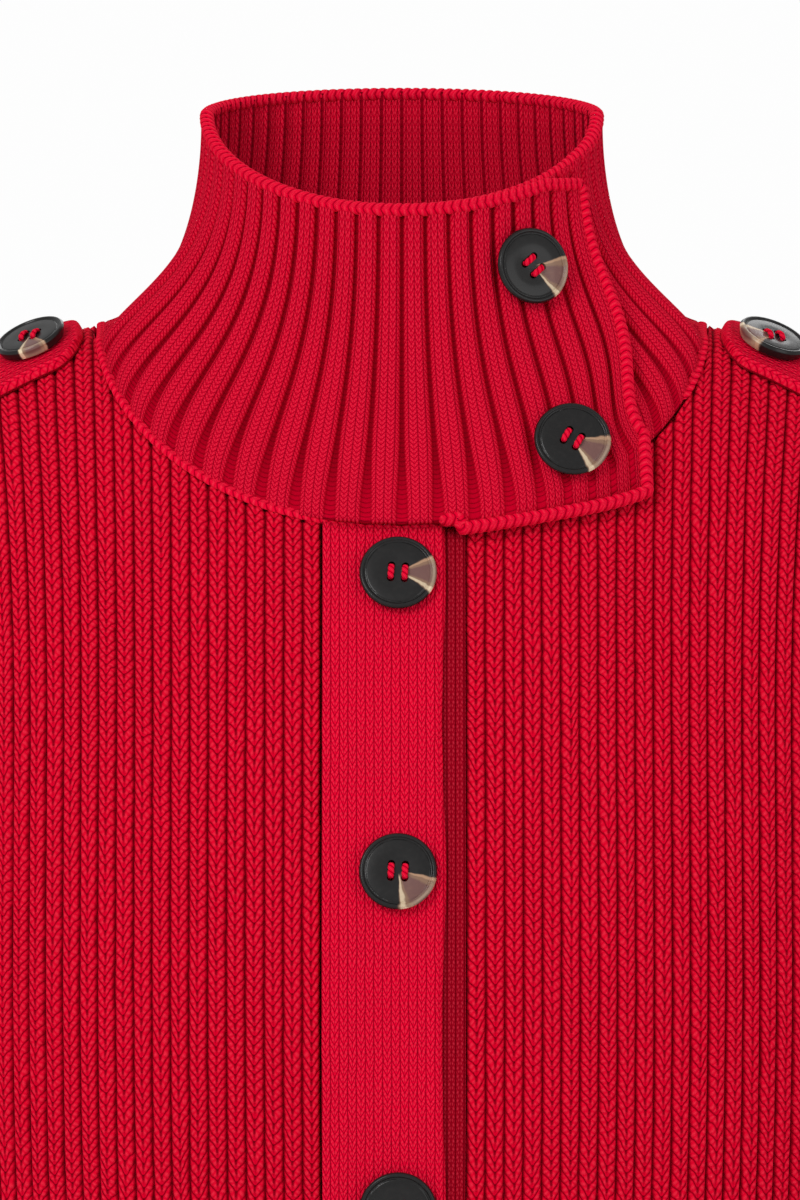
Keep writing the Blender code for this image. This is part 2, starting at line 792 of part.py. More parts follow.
def button_mesh(diameter):
    """A turned button with a raised rim and four holes, its foot on the XY plane."""
    radius = diameter / 2
    face = BUTTON_THICKNESS - BUTTON_FACE_DIP
    profile = (
        (0.0, face),
        (radius - BUTTON_RIM - BUTTON_RIM_SLOPE, face),
        (radius - BUTTON_RIM, BUTTON_THICKNESS),
        (radius, BUTTON_THICKNESS * BUTTON_SIDE_SHARE),
        (radius - BUTTON_FOOT_INSET, 0.0),
        (0.0, 0.0),
    )
    mesh = bpy.data.meshes.new("button_profile")
    mesh.from_pydata([(x, 0.0, z) for x, z in profile], [(i, i + 1) for i in range(len(profile) - 1)], [])
    blank = bpy.data.objects.new("button_blank", mesh)
    guides.objects.link(blank)
    screw = blank.modifiers.new("Turn", "SCREW")
    screw.steps = screw.render_steps = BUTTON_STEPS
    screw.use_merge_vertices = True
    screw.merge_threshold = 1e-5
    cut = blank.modifiers.new("Holes", "BOOLEAN")
    cut.object = hole_cutter()
    graph = bpy.context.evaluated_depsgraph_get()
    turned = bpy.data.meshes.new_from_object(blank.evaluated_get(graph))
    for guide in (cut.object, blank):
        bpy.data.objects.remove(guide)
    return turned


def hole_cutter():
    bm = bmesh.new()
    for x in (-BUTTON_HOLE_SPREAD, BUTTON_HOLE_SPREAD):
        for y in (-BUTTON_HOLE_SPREAD, BUTTON_HOLE_SPREAD):
            pin = bmesh.ops.create_cone(
                bm,
                cap_ends=True,
                segments=HOLE_STEPS,
                radius1=BUTTON_HOLE_DIAMETER / 2,
                radius2=BUTTON_HOLE_DIAMETER / 2,
                depth=3 * BUTTON_THICKNESS,
            )
            bmesh.ops.translate(bm, verts=pin["verts"], vec=(x, y, 0.0))
    mesh = bpy.data.meshes.new("hole_pins")
    bm.to_mesh(mesh)
    bm.free()
    cutter = bpy.data.objects.new("hole_pins", mesh)
    cutter.hide_render = True
    cutter.display_type = "WIRE"
    guides.objects.link(cutter)
    return cutter


def seat_button(name, mesh, radius, surface, u, v, reach):
    """Sets a button on a surface(u, v), clear of its highest point under the button."""
    centre = surface(u, v)
    du, dv = reach
    across = surface(u + du / 20, v) - surface(u - du / 20, v)
    up = surface(u, v + dv / 20) - surface(u, v - dv / 20)
    normal = across.cross(up).normalized()
    if normal.y > 0:
        normal.negate()
    high = 0.0
    for i in range(-6, 7):
        for j in range(-6, 7):
            away = surface(u + du * i / 6, v + dv * j / 6) - centre
            height = away.dot(normal)
            if (away - normal * height).length <= radius:
                high = max(high, height)
    thing = add_object(name, mesh, BUTTON_RESIN)
    thing.location = centre + normal * (high + SEAM_GAP)
    thing.rotation_mode = "QUATERNION"
    thing.rotation_quaternion = normal.to_track_quat("Z", "Y")
    return thing


def make_buttons(form):
    large, small = button_mesh(BUTTON_DIAMETER), button_mesh(STRAP_BUTTON_DIAMETER)
    radius = BUTTON_DIAMETER / 2

    def on_band(x, height):
        return front_point(x, height, BAND_PROUD)

    for number, height in enumerate(BAND_BUTTON_HEIGHTS, 1):
        seat_button(
            f"button_band_{number}", large, radius, on_band, BAND_BUTTON_X, height, (radius, radius)
        )

    def on_collar(rib, share):
        return form.surface(rib, share, COLLAR_WALL / 2 + COLLAR_WAVE + SEAM_GAP)

    for number, place in enumerate(COLLAR_BUTTONS, 1):
        rib, share = collar_place(form, place)
        seat_button(
            f"button_collar_{number}", large, radius, on_collar, rib, share, COLLAR_BUTTON_REACH
        )

    def on_strap(x, down):
        return lifted(*shoulder_frame(x, down), STRAP_LIFT + STRAP_THICKNESS)

    small_radius = STRAP_BUTTON_DIAMETER / 2
    left = seat_button(
        "button_epaulette_left", small, small_radius, on_strap,
        STRAP_BUTTON_X, STRAP_CENTRE_DOWN, (small_radius, small_radius),
    )
    right = add_object("button_epaulette_right", small, BUTTON_RESIN)
    normal = left.rotation_quaternion @ Vector((0.0, 0.0, 1.0))
    right.location = Vector((-left.location.x, left.location.y, left.location.z))
    right.rotation_mode = "QUATERNION"
    right.rotation_quaternion = Vector((-normal.x, normal.y, normal.z)).to_track_quat("Z", "Y")


def collar_place(form, place):
    """The rib and share of the tab's surface that lie at a place seen from the front."""
    rib = form.turn + COLLAR_TAB_RIBS / 2
    share = 0.5
    for _ in range(30):
        share = form.share_at_height(rib, place.height)
        missing = place.x - form.surface(rib, share, 0.0).x
        rib += missing / COLLAR_RIB_WIDTH
    return rib, share


# ---------------------------------------------------------------- the garment


def make_garment():
    for name, parts in body_parts().items():
        panel(name, parts, facing=1 if name == "back" else -1)
    band("button_band", lambda z: BAND_SEAM_X + SEAM_GAP / 2, band_edge, BAND_PROUD)
    band(
        "under_band", lambda z: UNDER_BAND_X, lambda z: UNDER_SEAM_X - SEAM_GAP / 2,
        BAND_PROUD - BAND_THICKNESS - SEAM_GAP,
    )
    collar = CollarForm()
    make_collar(collar)
    sleeve = SleeveForm()
    make_sleeve("sleeve_left", sleeve, mirrored=False)
    make_sleeve("sleeve_right", sleeve, mirrored=True)
    make_epaulette("epaulette_left", mirrored=False)
    make_epaulette("epaulette_right", mirrored=True)
    make_buttons(collar)


for old in list(bpy.data.objects):
    bpy.data.objects.remove(old)
garment = bpy.data.collections.new("cardigan")
guides = bpy.data.collections.new("cutters")
bpy.context.scene.collection.children.link(garment)
bpy.context.scene.collection.children.link(guides)
make_garment()
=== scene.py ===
"""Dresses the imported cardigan: knitted walls with their stitches, bound edges, yarn and horn buttons.

The cloth repeats the forms and sizes of the solids that it replaces, in metres, with finer ribs and
stitches. Grids hold their columns first and their rows second.
"""

import json
from collections import namedtuple
from math import cos, pi, radians, sin, sqrt, tan

import bmesh
import bpy
import numpy as np
from bpy.props import FloatProperty, FloatVectorProperty, IntProperty, PointerProperty
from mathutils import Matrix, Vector

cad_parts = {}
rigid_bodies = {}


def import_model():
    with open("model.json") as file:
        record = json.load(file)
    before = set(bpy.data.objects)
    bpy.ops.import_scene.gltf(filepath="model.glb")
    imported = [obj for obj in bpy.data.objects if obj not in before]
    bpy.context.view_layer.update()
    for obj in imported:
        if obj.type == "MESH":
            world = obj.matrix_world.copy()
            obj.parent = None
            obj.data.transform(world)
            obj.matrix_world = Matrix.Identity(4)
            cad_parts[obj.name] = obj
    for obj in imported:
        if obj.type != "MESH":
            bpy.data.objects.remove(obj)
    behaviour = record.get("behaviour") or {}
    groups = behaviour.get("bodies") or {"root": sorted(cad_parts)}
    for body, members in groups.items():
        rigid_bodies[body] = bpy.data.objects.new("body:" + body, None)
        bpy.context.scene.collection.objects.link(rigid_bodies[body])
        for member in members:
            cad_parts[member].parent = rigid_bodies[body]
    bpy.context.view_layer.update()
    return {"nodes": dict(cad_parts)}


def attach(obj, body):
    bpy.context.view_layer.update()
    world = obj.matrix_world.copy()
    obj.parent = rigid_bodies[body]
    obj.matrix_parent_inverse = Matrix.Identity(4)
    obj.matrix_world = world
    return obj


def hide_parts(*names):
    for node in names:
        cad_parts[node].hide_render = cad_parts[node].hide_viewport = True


bl_info = {
    "name": "Rib-knit cardigan",
    "version": (1, 0, 0),
    "blender": (4, 5, 0),
    "location": "3D View > Sidebar > Cardigan",
    "description": "Knits the cardigan's panels, collar, bands and straps, and turns its buttons",
    "category": "Object",
}

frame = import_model()

# ---------------------------------------------------------------- sizes that the solids have too

WALL = 0.0042
SEAM_GAP = 0.0003
ARMHOLE_GAP = 0.0008
COLLAR_GAP = 0.0009
COLLAR_CORNER_GAP = 0.0010

HEM_HEIGHT = -0.600
ARCH_BASE = -0.150
SECTION_POWER = 2.3
NECK_HALF_WIDTH = 0.112
NECK_DROP, NECK_POWER = 0.0745, 0.5
NECK_DROP_BACK, NECK_POWER_BACK = 0.022, 1.0
RIDGE_TOP = 0.0046
RIDGE_ROUND = 0.018
SHOULDER_SLOPE = radians(24)
ARMHOLE_SHARE = 0.87
ARMHOLE_DROP = 0.075
SHOULDER_FAN = 0.08

Section = namedtuple("Section", "height half_width front_depth back_depth")
TORSO = (
    Section(0.020, 0.190, 0.097, 0.100),
    Section(-0.073, 0.190, 0.097, 0.100),
    Section(-0.110, 0.190, 0.1025, 0.099),
    Section(-0.150, 0.190, 0.113, 0.097),
    Section(-0.200, 0.190, 0.130, 0.096),
    Section(-0.250, 0.190, 0.136, 0.094),
    Section(-0.315, 0.188, 0.135, 0.088),
    Section(-0.400, 0.181, 0.122, 0.080),
    Section(-0.480, 0.180, 0.116, 0.086),
    Section(-0.610, 0.186, 0.120, 0.098),
)

BAND_THICKNESS = 0.0030
BAND_PROUD = 0.0016
BAND_SEAM_X = -0.0287
BAND_EDGE_X = 0.0158
BAND_EDGE_SWELL = 0.0014
UNDER_BAND_X = -0.0180
UNDER_SEAM_X = 0.0230
BUTTON_DIAMETER = 0.028
BAND_BUTTON_HEIGHTS = (-0.0918, -0.1975, -0.3165, -0.4345, -0.5525)

COLLAR_WALL = 0.0032
COLLAR_WAVE = 0.0008
COLLAR_MID_LIFT = -0.0016
COLLAR_FRONT_RIBS = 14
COLLAR_BACK_RIBS = 13
COLLAR_TURN = 2 * (COLLAR_FRONT_RIBS + COLLAR_BACK_RIBS)
COLLAR_TAB_RIBS = 9.0
TAB_LIFT = COLLAR_WALL + 2 * COLLAR_WAVE + SEAM_GAP
TAB_RAMP_RIBS = 4
TAB_TOP_HEIGHT = 0.0515
TAB_DROP_START_X = 0.0205
TAB_DROP_FULL_X = 0.097
TAB_DROP = 0.017
TAB_HANG = 0.003
RIM_HALF_WIDTH = 0.0708
RIM_FRONT_DEPTH, RIM_BACK_DEPTH = 0.060, 0.054
RIM_SIDE_HEIGHT = 0.078
RIM_FRONT_DIP, RIM_BACK_RISE = 0.036, 0.010
COLLAR_FRONT_PULL, COLLAR_SIDE_PULL, COLLAR_BACK_PULL = 0.85, 0.80, 0.40
COLLAR_RIM_PULL = 1.60
COLLAR_LEAN = 0.7
SEAM_TURN_SHARE = 0.15

SLEEVE_START = np.array((1.0, 0.0, -0.35)) / sqrt(1 + 0.35**2)
ARM_LEAN = radians(12)
ARM_TOP = np.array((0.250, 0.0, -0.272))
ARM_LENGTH = 0.370
ARM_FORWARD = 0.025
Arm = namedtuple("Arm", "share half_width half_depth")
ARM_SECTIONS = (
    Arm(0.0, 0.048, 0.058),
    Arm(0.35, 0.044, 0.051),
    Arm(0.70, 0.040, 0.044),
    Arm(1.0, 0.036, 0.039),
)

STRAP_TIP_X = 0.116
STRAP_TIP_ROUND = 0.011
STRAP_HALF_WIDTH = 0.018
STRAP_CENTRE_DOWN = 0.019
STRAP_THICKNESS = 0.0036
STRAP_EDGE = 0.0016
STRAP_LIFT = 0.0005

# ---------------------------------------------------------------- the knit and the stage

RIB_COLUMNS = 5  # points across a rib of the body
BACK_RIB_COLUMNS = 4
STITCH_ROWS = 3  # points up a stitch of the front
BACK_STITCH_ROWS = 2
STITCH_LEAN = 1.12  # rows that a stitch's leg climbs from the rib's middle to its side
INNER_REACH = 0.008
INNER_ROWS = 6
COLLAR_COLUMNS = 10
COLLAR_GRID_ROWS = 56
COLLAR_STITCH_ROWS = 52  # stitches from seam to rim
COLLAR_RAISED = (0.34, 0.43)  # of a rib, from its middle to its groove, at the seam and above
COLLAR_OPEN_ROWS = 20  # stitches over which the grooves close
COLLAR_RELIEF = 0.0024
TAB_BOW, TAB_BOW_SHARE, TAB_BOW_REACH = 1.9, 0.13, 0.30  # ribs, and shares of the collar's height
TAB_BOW_START = 3.0  # ribs onto the tab where its end begins to draw in
EDGE_STITCH = 0.0031
CHAIN_HALF, CHAIN_STITCH = (0.0010, 0.0017), 0.0033  # half its thickness and width, and each stitch
BAND_FOLD = 0.0022  # how far in the button band's edge is rounded
SLEEVE_RIBS, SLEEVE_RIB_COLUMNS, SLEEVE_STITCH_ROWS = 44, 4, 2
STRAP_ROUND = 0.0022
JERSEY_PITCH = 0.0031
JERSEY_ROW = 0.0029

Turned = namedtuple("Turned", "holes streak spread")  # degrees as seen from the front, and half the streak
BUTTON_TURNS = {
    "button_band_1": Turned(-4, -3, 30),
    "button_band_2": Turned(-3, -48, 38),
    "button_band_3": Turned(5, 205, 30),
    "button_band_4": Turned(-6, 62, 18),
    "button_band_5": Turned(12, -24, 20),
    "button_collar_1": Turned(-48, -17, 35),
    "button_collar_2": Turned(-29, -29, 36),
    "button_epaulette_left": Turned(24, -150, 34),
    "button_epaulette_right": Turned(-24, -84, 24),
}


def length(name, description, default):
    return FloatProperty(name=name, description=description, default=default, unit="LENGTH")


def tone(name, description, default):
    return FloatVectorProperty(name=name, description=description, default=default, subtype="COLOR")


class KnitSizes(bpy.types.PropertyGroup):
    """Sizes of the body's knit."""

    rib_pitch: length("Rib pitch", "From one rib to the next", 0.0068)
    row_pitch: length("Row pitch", "From one stitch to the next up a rib", 0.0039)
    rib_depth: length("Rib depth", "How far a rib stands over its groove", 0.0019)
    roll_radius: length("Bound edge", "Radius of the collar's rolled edge", 0.0024)
    button_sides: IntProperty(
        name="Button sides", description="Sides of a turned button", default=72, min=24
    )


class YarnColours(bpy.types.PropertyGroup):
    """Colours of the yarn and the buttons, and the shade and the highlight that are painted onto the yarn."""

    # painted shade: the dark red that grooves, gaps between stitches and the low sides of ridges are darkened
    # towards
    deep: tone("Groove", "Yarn down in a groove", (0.25, 0.0, 0.007))
    body: tone("Body", "Yarn of the ribs", (0.74, 0.0, 0.022))
    band: tone("Bands", "Yarn of the bands and straps", (0.79, 0.0, 0.028))
    # painted highlight: the pale pink mixed onto the tops of the legs along their twist
    light: tone("Highlight", "Fibres that catch the light", (0.95, 0.055, 0.10))
    horn_dark: tone("Horn", "The buttons' dark resin", (0.006, 0.0055, 0.0055))
    horn_tan: tone("Streak", "The buttons' pale streak", (0.42, 0.25, 0.15))
    horn_cream: tone("Streak's edge", "The streak's cream edge", (0.80, 0.66, 0.45))
    horn_brown: tone("Streak's middle", "The streak's brown middle", (0.15, 0.070, 0.062))


class StageSizes(bpy.types.PropertyGroup):
    """The camera and the lights."""

    frame_width: length("Frame width", "Width of the view at the garment", 0.2872)
    centre_height: length("Height", "Height of the view's centre", -0.0998)
    distance: length("Distance", "From the camera to the garment", 5.0)
    key_power: FloatProperty(name="Key light", description="Power of the key light", default=46.0)
    fill_power: FloatProperty(name="Fill light", description="Power of the fill light", default=14.0)
    sky: FloatProperty(name="Sky", description="Brightness of the surroundings", default=0.66)


def sizes():
    return bpy.context.scene.cardigan_knit


def colours():
    return bpy.context.scene.cardigan_colours


# ---------------------------------------------------------------- curves over arrays


def unit(vectors):
    return vectors / np.linalg.norm(vectors, axis=-1, keepdims=True)


def smooth_step(t):
    t = np.clip(t, 0.0, 1.0)
    return t * t * (3 - 2 * t)


def signed_power(values, power):
    return np.copysign(np.abs(values) ** power, values)


def hermite(start, end, start_pull, end_pull, t):
    t2, t3 = t * t, t * t * t
    return (
        start * (2 * t3 - 3 * t2 + 1)
        + end * (3 * t2 - 2 * t3)
        + start_pull * (t3 - 2 * t2 + t)
        + end_pull * (t3 - t2)
    )


def read_table(rows, column, key, wanted):
    """A column's values at the wanted places, on a smooth curve through the table's rows."""
    rows = sorted(rows, key=lambda row: getattr(row, key))
    places = np.array([getattr(row, key) for row in rows])
    values = np.array([getattr(row, column) for row in rows])
    last = len(rows) - 1
    high, low = np.minimum(np.arange(last + 1) + 1, last), np.maximum(np.arange(last + 1) - 1, 0)
    slopes = (values[high] - values[low]) / (places[high] - places[low])
    wanted = np.clip(wanted, places[0], places[-1])
    i = np.clip(np.searchsorted(places, wanted) - 1, 0, last - 1)
    width = places[i + 1] - places[i]
    t = (wanted - places[i]) / width
    return hermite(values[i], values[i + 1], slopes[i] * width, slopes[i + 1] * width, t)


class Run:
    """A curve through points, and what goes with each of them, read by the share of its length."""

    def __init__(self, points, normals=None):
        self.points, self.normals = points, normals
        steps = np.linalg.norm(np.diff(points, axis=0), axis=1)
        self.marks = np.concatenate(([0.0], np.cumsum(steps)))
        self.length = self.marks[-1]

    def read(self, values, share):
        distance = np.clip(share, 0.0, 1.0) * self.length
        return np.stack([np.interp(distance, self.marks, values[:, i]) for i in range(3)], -1)

    def at(self, share):
        return self.read(self.points, share)

    def normal_at(self, share):
        return unit(self.read(self.normals, share))


# ---------------------------------------------------------------- the body's surface


def ridge_height(x):
    out = np.abs(x) - NECK_HALF_WIDTH
    return RIDGE_TOP - tan(SHOULDER_SLOPE) * (np.hypot(out, RIDGE_ROUND) + out) / 2


def torso(turn, rise):
    """Points of the outside. turn is the angle round from the front centre towards +X. Up to 0, rise is
    the height over the arch's base; over 0 it is the arch's angle, pi/2 on the shoulder's ridge."""
    turn, rise = np.broadcast_arrays(np.asarray(turn, float), np.asarray(rise, float))
    power = 2 / SECTION_POWER
    across, along = signed_power(np.sin(turn), power), signed_power(np.cos(turn), power)
    angle = np.maximum(rise, 0.0)
    height = ARCH_BASE + np.minimum(rise, 0.0)
    fan = 1 + SHOULDER_FAN * (across / ARMHOLE_SHARE) ** 2 * np.sin(angle) ** 2
    x = read_table(TORSO, "half_width", "height", height) * across * fan
    height = height + (ridge_height(x) - ARCH_BASE) * np.sin(angle)
    front = read_table(TORSO, "front_depth", "height", height)
    back = read_table(TORSO, "back_depth", "height", height)
    return np.stack((x, -np.where(along > 0, front, back) * along * np.cos(angle), height), -1)


def torso_normal(turn, rise):
    step = 1e-3
    across = torso(turn + step, rise) - torso(turn - step, rise)
    up = torso(turn, rise + step) - torso(turn, rise - step)
    return unit(np.cross(across, up))


def lifted(turn, rise, lift):
    return torso(turn, rise) + torso_normal(turn, rise) * np.asarray(lift)[..., None]


def turn_at_x(x):
    """The angle whose point lies at x on the front, at the arch's base."""
    half = read_table(TORSO, "half_width", "height", ARCH_BASE)
    return np.arcsin(signed_power(np.clip(x / half, -1.0, 1.0), SECTION_POWER / 2))


def bisect(test, low, high):
    """Where a rising test turns false to true, for arrays."""
    for _ in range(34):
        middle = (low + high) / 2
        over = test(middle)
        low, high = np.where(over, low, middle), np.where(over, middle, high)
    return low


def turn_at_ridge(x):
    x = np.asarray(x, float)
    return bisect(lambda turn: torso(turn, pi / 2)[..., 0] >= x, np.zeros_like(x), np.full_like(x, pi / 2))


def arch_angle(turn, height):
    turn, height = np.broadcast_arrays(np.asarray(turn, float), np.asarray(height, float))
    return bisect(
        lambda angle: torso(turn, angle)[..., 2] >= height, np.zeros(turn.shape), np.full(turn.shape, pi / 2)
    )


def neck_angle(turn):
    """The arch's angle at the neckline, or at the shoulder seam for a rib outside it."""
    x = torso(turn, pi / 2)[..., 0]
    front = np.cos(turn) > 0
    end = ridge_height(NECK_HALF_WIDTH)
    drop = np.where(front, NECK_DROP, NECK_DROP_BACK)
    power = np.where(front, NECK_POWER, NECK_POWER_BACK)
    height = end - (end + drop) * np.maximum(0.0, 1 - (x / NECK_HALF_WIDTH) ** 2) ** power
    return np.where(np.abs(x) >= NECK_HALF_WIDTH - 1e-6, pi / 2, arch_angle(turn, height))


def armhole_rise(turn):
    half = read_table(TORSO, "half_width", "height", ARCH_BASE)
    x = half * np.abs(signed_power(np.sin(turn), 2 / SECTION_POWER))
    out = np.minimum(1.0, (half - x) / (half * (1 - ARMHOLE_SHARE)))
    return -ARMHOLE_DROP * np.sqrt(1 - out * out)


def shoulder_end(turn):
    """The arch's angle just short of the shoulder seam."""
    return pi / 2 - SEAM_GAP / 2 / np.abs(torso(turn, 0.0)[..., 1])


ARMHOLE_TURN = float(turn_at_x(ARMHOLE_SHARE * 0.190))
CORNER_TURN = float(turn_at_ridge(NECK_HALF_WIDTH))
RULER_TURNS = np.linspace(-pi / 2, 3 * pi / 2, 8001)
RULER = Run(torso(RULER_TURNS, 0.0))


def round_at(turn):
    """The distance round the body to an angle, and back."""
    return np.interp(turn, RULER_TURNS, RULER.marks)


def turn_round(distance):
    return np.interp(distance, RULER.marks, RULER_TURNS)


# ---------------------------------------------------------------- sheets


class Sheet:
    """Gathers the points, pattern places and faces of one piece, and makes it an object."""

    def __init__(self):
        self.points, self.places, self.faces, self.count = [], [], [], 0

    def add(self, points, places):
        """Adds points with their places in the knit, and returns their numbers in the same layout."""
        layout = points.shape[:-1]
        numbers = self.count + np.arange(int(np.prod(layout))).reshape(layout)
        self.points.append(points.reshape(-1, 3))
        self.places.append(np.broadcast_to(places, (*layout, 2)).reshape(-1, 2))
        self.count += numbers.size
        return numbers

    def grid(self, numbers, closed=False):
        """Quads over a layout of point numbers."""
        if closed:
            numbers = np.concatenate((numbers, numbers[:1]))
        a, b = numbers[:-1, :-1], numbers[1:, :-1]
        c, d = numbers[1:, 1:], numbers[:-1, 1:]
        self.faces += np.stack((a, b, c, d), -1).reshape(-1, 4).tolist()

    def zip(self, first, second, first_keys=None, second_keys=None):
        """Triangles between two runs of points; keys say how far along each point is."""
        first, second = list(first), list(second)
        ka = np.linspace(0, 1, len(first)).tolist() if first_keys is None else first_keys
        kb = np.linspace(0, 1, len(second)).tolist() if second_keys is None else second_keys
        i, j, last_i, last_j = 0, 0, len(first) - 1, len(second) - 1
        add = self.faces.append
        while i < last_i or j < last_j:
            if j == last_j or (i < last_i and ka[i + 1] <= kb[j + 1]):
                add((first[i], first[i + 1], second[j]))
                i += 1
            else:
                add((first[i], second[j + 1], second[j]))
                j += 1

    def build(self, name, material, wrap=None):
        """The object, its faces turned outwards. wrap is the pattern's width where it meets itself."""
        points, places = np.concatenate(self.points), np.concatenate(self.places)
        mesh = bpy.data.meshes.new(name)
        mesh.from_pydata(points, [], self.faces)
        bm = bmesh.new()
        bm.from_mesh(mesh)
        bmesh.ops.recalc_face_normals(bm, faces=bm.faces)
        if bm.calc_volume(signed=True) < 0:
            bmesh.ops.reverse_faces(bm, faces=bm.faces)
        bm.to_mesh(mesh)
        bm.free()
        corners = np.empty(len(mesh.loops), int)
        mesh.loops.foreach_get("vertex_index", corners)
        corner_places = places[corners].copy()
        if wrap:
            starts = np.empty(len(mesh.polygons), int)
            totals = np.empty(len(mesh.polygons), int)
            mesh.polygons.foreach_get("loop_start", starts)
            mesh.polygons.foreach_get("loop_total", totals)
            face_of = np.repeat(np.arange(len(totals)), totals)
            widest = np.maximum.reduceat(corner_places[:, 0], starts)[face_of]
            corner_places[:, 0] += wrap * (widest - corner_places[:, 0] > wrap / 2)
        layer = mesh.uv_layers.new(name="knit")
        layer.data.foreach_set("uv", corner_places.astype(np.float32).ravel())
        mesh.polygons.foreach_set("use_smooth", [True] * len(mesh.polygons))
        mesh.materials.append(material)
        thing = bpy.data.objects.new(name, mesh)
        bpy.context.scene.collection.objects.link(thing)
        return thing


def dress(thing, replaced=None):
    """The piece rides on the garment's one body, and the solid that it replaces is hidden."""
    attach(thing, "root")
    if replaced:
        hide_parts(replaced)
    return thing


def wander(u, v):
    """Stitches that run a little early or late from rib to rib and up each rib."""
    early = 0.55 * np.sin(0.55 * u + 0.11 * v) + 0.35 * np.sin(0.90 * u - 0.19 * v + 1.3)
    return v + early + 0.12 * np.sin(1.7 * u + 0.37 * v + 0.6)


def rib_stitch(u, v, depth):
    """How far the body's knit stands out from its solid's wall. A rib's middle is at half a unit of u,
    and a unit of v is one stitch: two fat legs that lean outwards from the middle."""
    side = np.abs(u % 1.0 - 0.5) * 2
    raised = np.sqrt(np.maximum(0.0, 1 - ((side - 0.45) / 0.55) ** 2))
    leg = np.sqrt(np.maximum(0.0, 1 - (2 * ((v - STITCH_LEAN * side) % 1.0) - 1) ** 2))
    return depth * (raised * (0.76 + 0.28 * leg) - 1)


# ---------------------------------------------------------------- body panels


def panel(name, start, end, columns_in_rib, rows_in_stitch, material):
    """A body panel between two angles. Its rows follow the stitches' legs, and its ribs stop at the
    armhole, the shoulder seam or the neckline."""
    knit = sizes()
    first, last = round_at(start), round_at(end)
    ribs = round((last - first) / knit.rib_pitch)
    count = ribs * columns_in_rib + 1
    rib = np.arange(count) / columns_in_rib
    turns = turn_round(first + (last - first) * rib / ribs)
    for corner in (-ARMHOLE_TURN, ARMHOLE_TURN, pi - ARMHOLE_TURN, pi + ARMHOLE_TURN):
        if start < corner < end:
            turns[np.argmin(np.abs(turns - corner))] = corner
    tall = np.abs(np.sin(turns)) <= sin(ARMHOLE_TURN) + 1e-9
    tops = np.where(tall, np.minimum(neck_angle(turns), shoulder_end(turns)), armhole_rise(turns))
    lean = STITCH_LEAN * np.abs(rib % 1.0 - 0.5) * 2

    hem = HEM_HEIGHT - ARCH_BASE
    stitches = round(-hem / knit.row_pitch)
    angles = np.linspace(0.0, pi / 2, 240)
    at_step = [i for i in range(count) if tall[i] and False in tall[max(0, i - 1) : i + 2]]
    rises, heights, keys, counts = [], [], [], []
    for i in range(count):
        arch = Run(torso(turns[i], angles))
        marks = stitches + arch.marks / knit.row_pitch
        top = np.interp(tops[i], angles, marks) if tall[i] else stitches * (1 - tops[i] / hem)
        low = np.ceil(-lean[i] * rows_in_stitch + 0.4)
        high = np.floor((top - lean[i]) * rows_in_stitch - 0.4)
        v = np.concatenate(([0.0], np.arange(low, high + 1) / rows_in_stitch + lean[i], [top]))
        if i in at_step:
            v = np.sort(np.append(v[np.abs(v - stitches) > 0.4 / rows_in_stitch], stitches))
        rise = np.where(v <= stitches, hem * (1 - v / stitches), np.interp(v, marks, angles))
        rise[-1] = tops[i]
        rises.append(rise)
        heights.append(v)
        keys.append(((v - lean[i]) * rows_in_stitch).tolist())
        counts.append(len(v))
    starts = np.concatenate(([0], np.cumsum(counts)))
    turn, rise = np.repeat(turns, counts), np.concatenate(rises)
    u, v = np.repeat(rib, counts), np.concatenate(heights)
    surface, normal = torso(turn, rise), torso_normal(turn, rise)
    side_seam = np.abs(np.cos(turn)) < 1e-6
    surface[:, 1] += np.where(side_seam, SEAM_GAP / 2 * (1 if name == "back" else -1), 0.0)
    knitted = wander(u, v)
    place = np.stack((u, knitted), -1)

    sheet = Sheet()
    outer = sheet.add(surface + normal * rib_stitch(u, knitted, knit.rib_depth)[:, None], place)
    columns = [outer[starts[i] : starts[i + 1]].tolist() for i in range(count)]
    step_rows = {i: int(np.argmin(np.abs(heights[i] - stitches))) for i in at_step}
    join_columns(sheet, columns, keys, tall, step_rows)

    ends = surface[starts[1:] - 1]
    edges = sorted({0, count - 1, *at_step, *[i + d for i in at_step for d in (-1, 1) if not tall[i + d]]})
    picked = [0]
    for i in range(1, count):
        if i in edges or np.linalg.norm(ends[min(i + 1, count - 1)] - ends[picked[-1]]) > INNER_REACH:
            picked.append(i)
    inner, inner_keys = [], []
    for i in picked:
        spread = np.arange(0, counts[i] - INNER_ROWS * 0.6, INNER_ROWS).astype(int)
        picks = np.array(sorted({*spread.tolist(), counts[i] - 1, step_rows.get(i, 0)}))
        flat = starts[i] + picks
        inner.append(sheet.add(surface[flat] - normal[flat] * WALL, place[flat]).tolist())
        inner_keys.append([keys[i][pick] for pick in picks])
    inner_steps = {
        k: int(np.argmin(np.abs(np.array(inner_keys[k]) - keys[i][step_rows[i]])))
        for k, i in enumerate(picked) if i in step_rows
    }
    join_columns(sheet, inner, inner_keys, tall[picked], inner_steps)

    spots = rib.tolist()
    sheet.zip([c[0] for c in columns], [c[0] for c in inner], spots, [spots[i] for i in picked])
    for outside, inside in ((0, 0), (count - 1, len(picked) - 1)):
        sheet.zip(columns[outside], inner[inside], keys[outside], inner_keys[inside])
    for a, b in zip(edges, edges[1:]):
        if b - a == 1 and tall[a] != tall[b]:
            high, low = (a, b) if tall[a] else (b, a)
            k, row, inner_row = picked.index(high), step_rows[high], inner_steps[picked.index(high)]
            sheet.zip(columns[high][row:], inner[k][inner_row:], keys[high][row:], inner_keys[k][inner_row:])
            low_inside = inner[picked.index(low)][-1]
            sheet.faces.append((columns[high][row], columns[low][-1], low_inside, inner[k][inner_row]))
        else:
            span = [k for k, i in enumerate(picked) if a <= i <= b]
            sheet.zip(
                [columns[i][-1] for i in range(a, b + 1)], [inner[k][-1] for k in span],
                spots[a : b + 1], [spots[picked[k]] for k in span],
            )
    return sheet.build(name + "_knit", material)


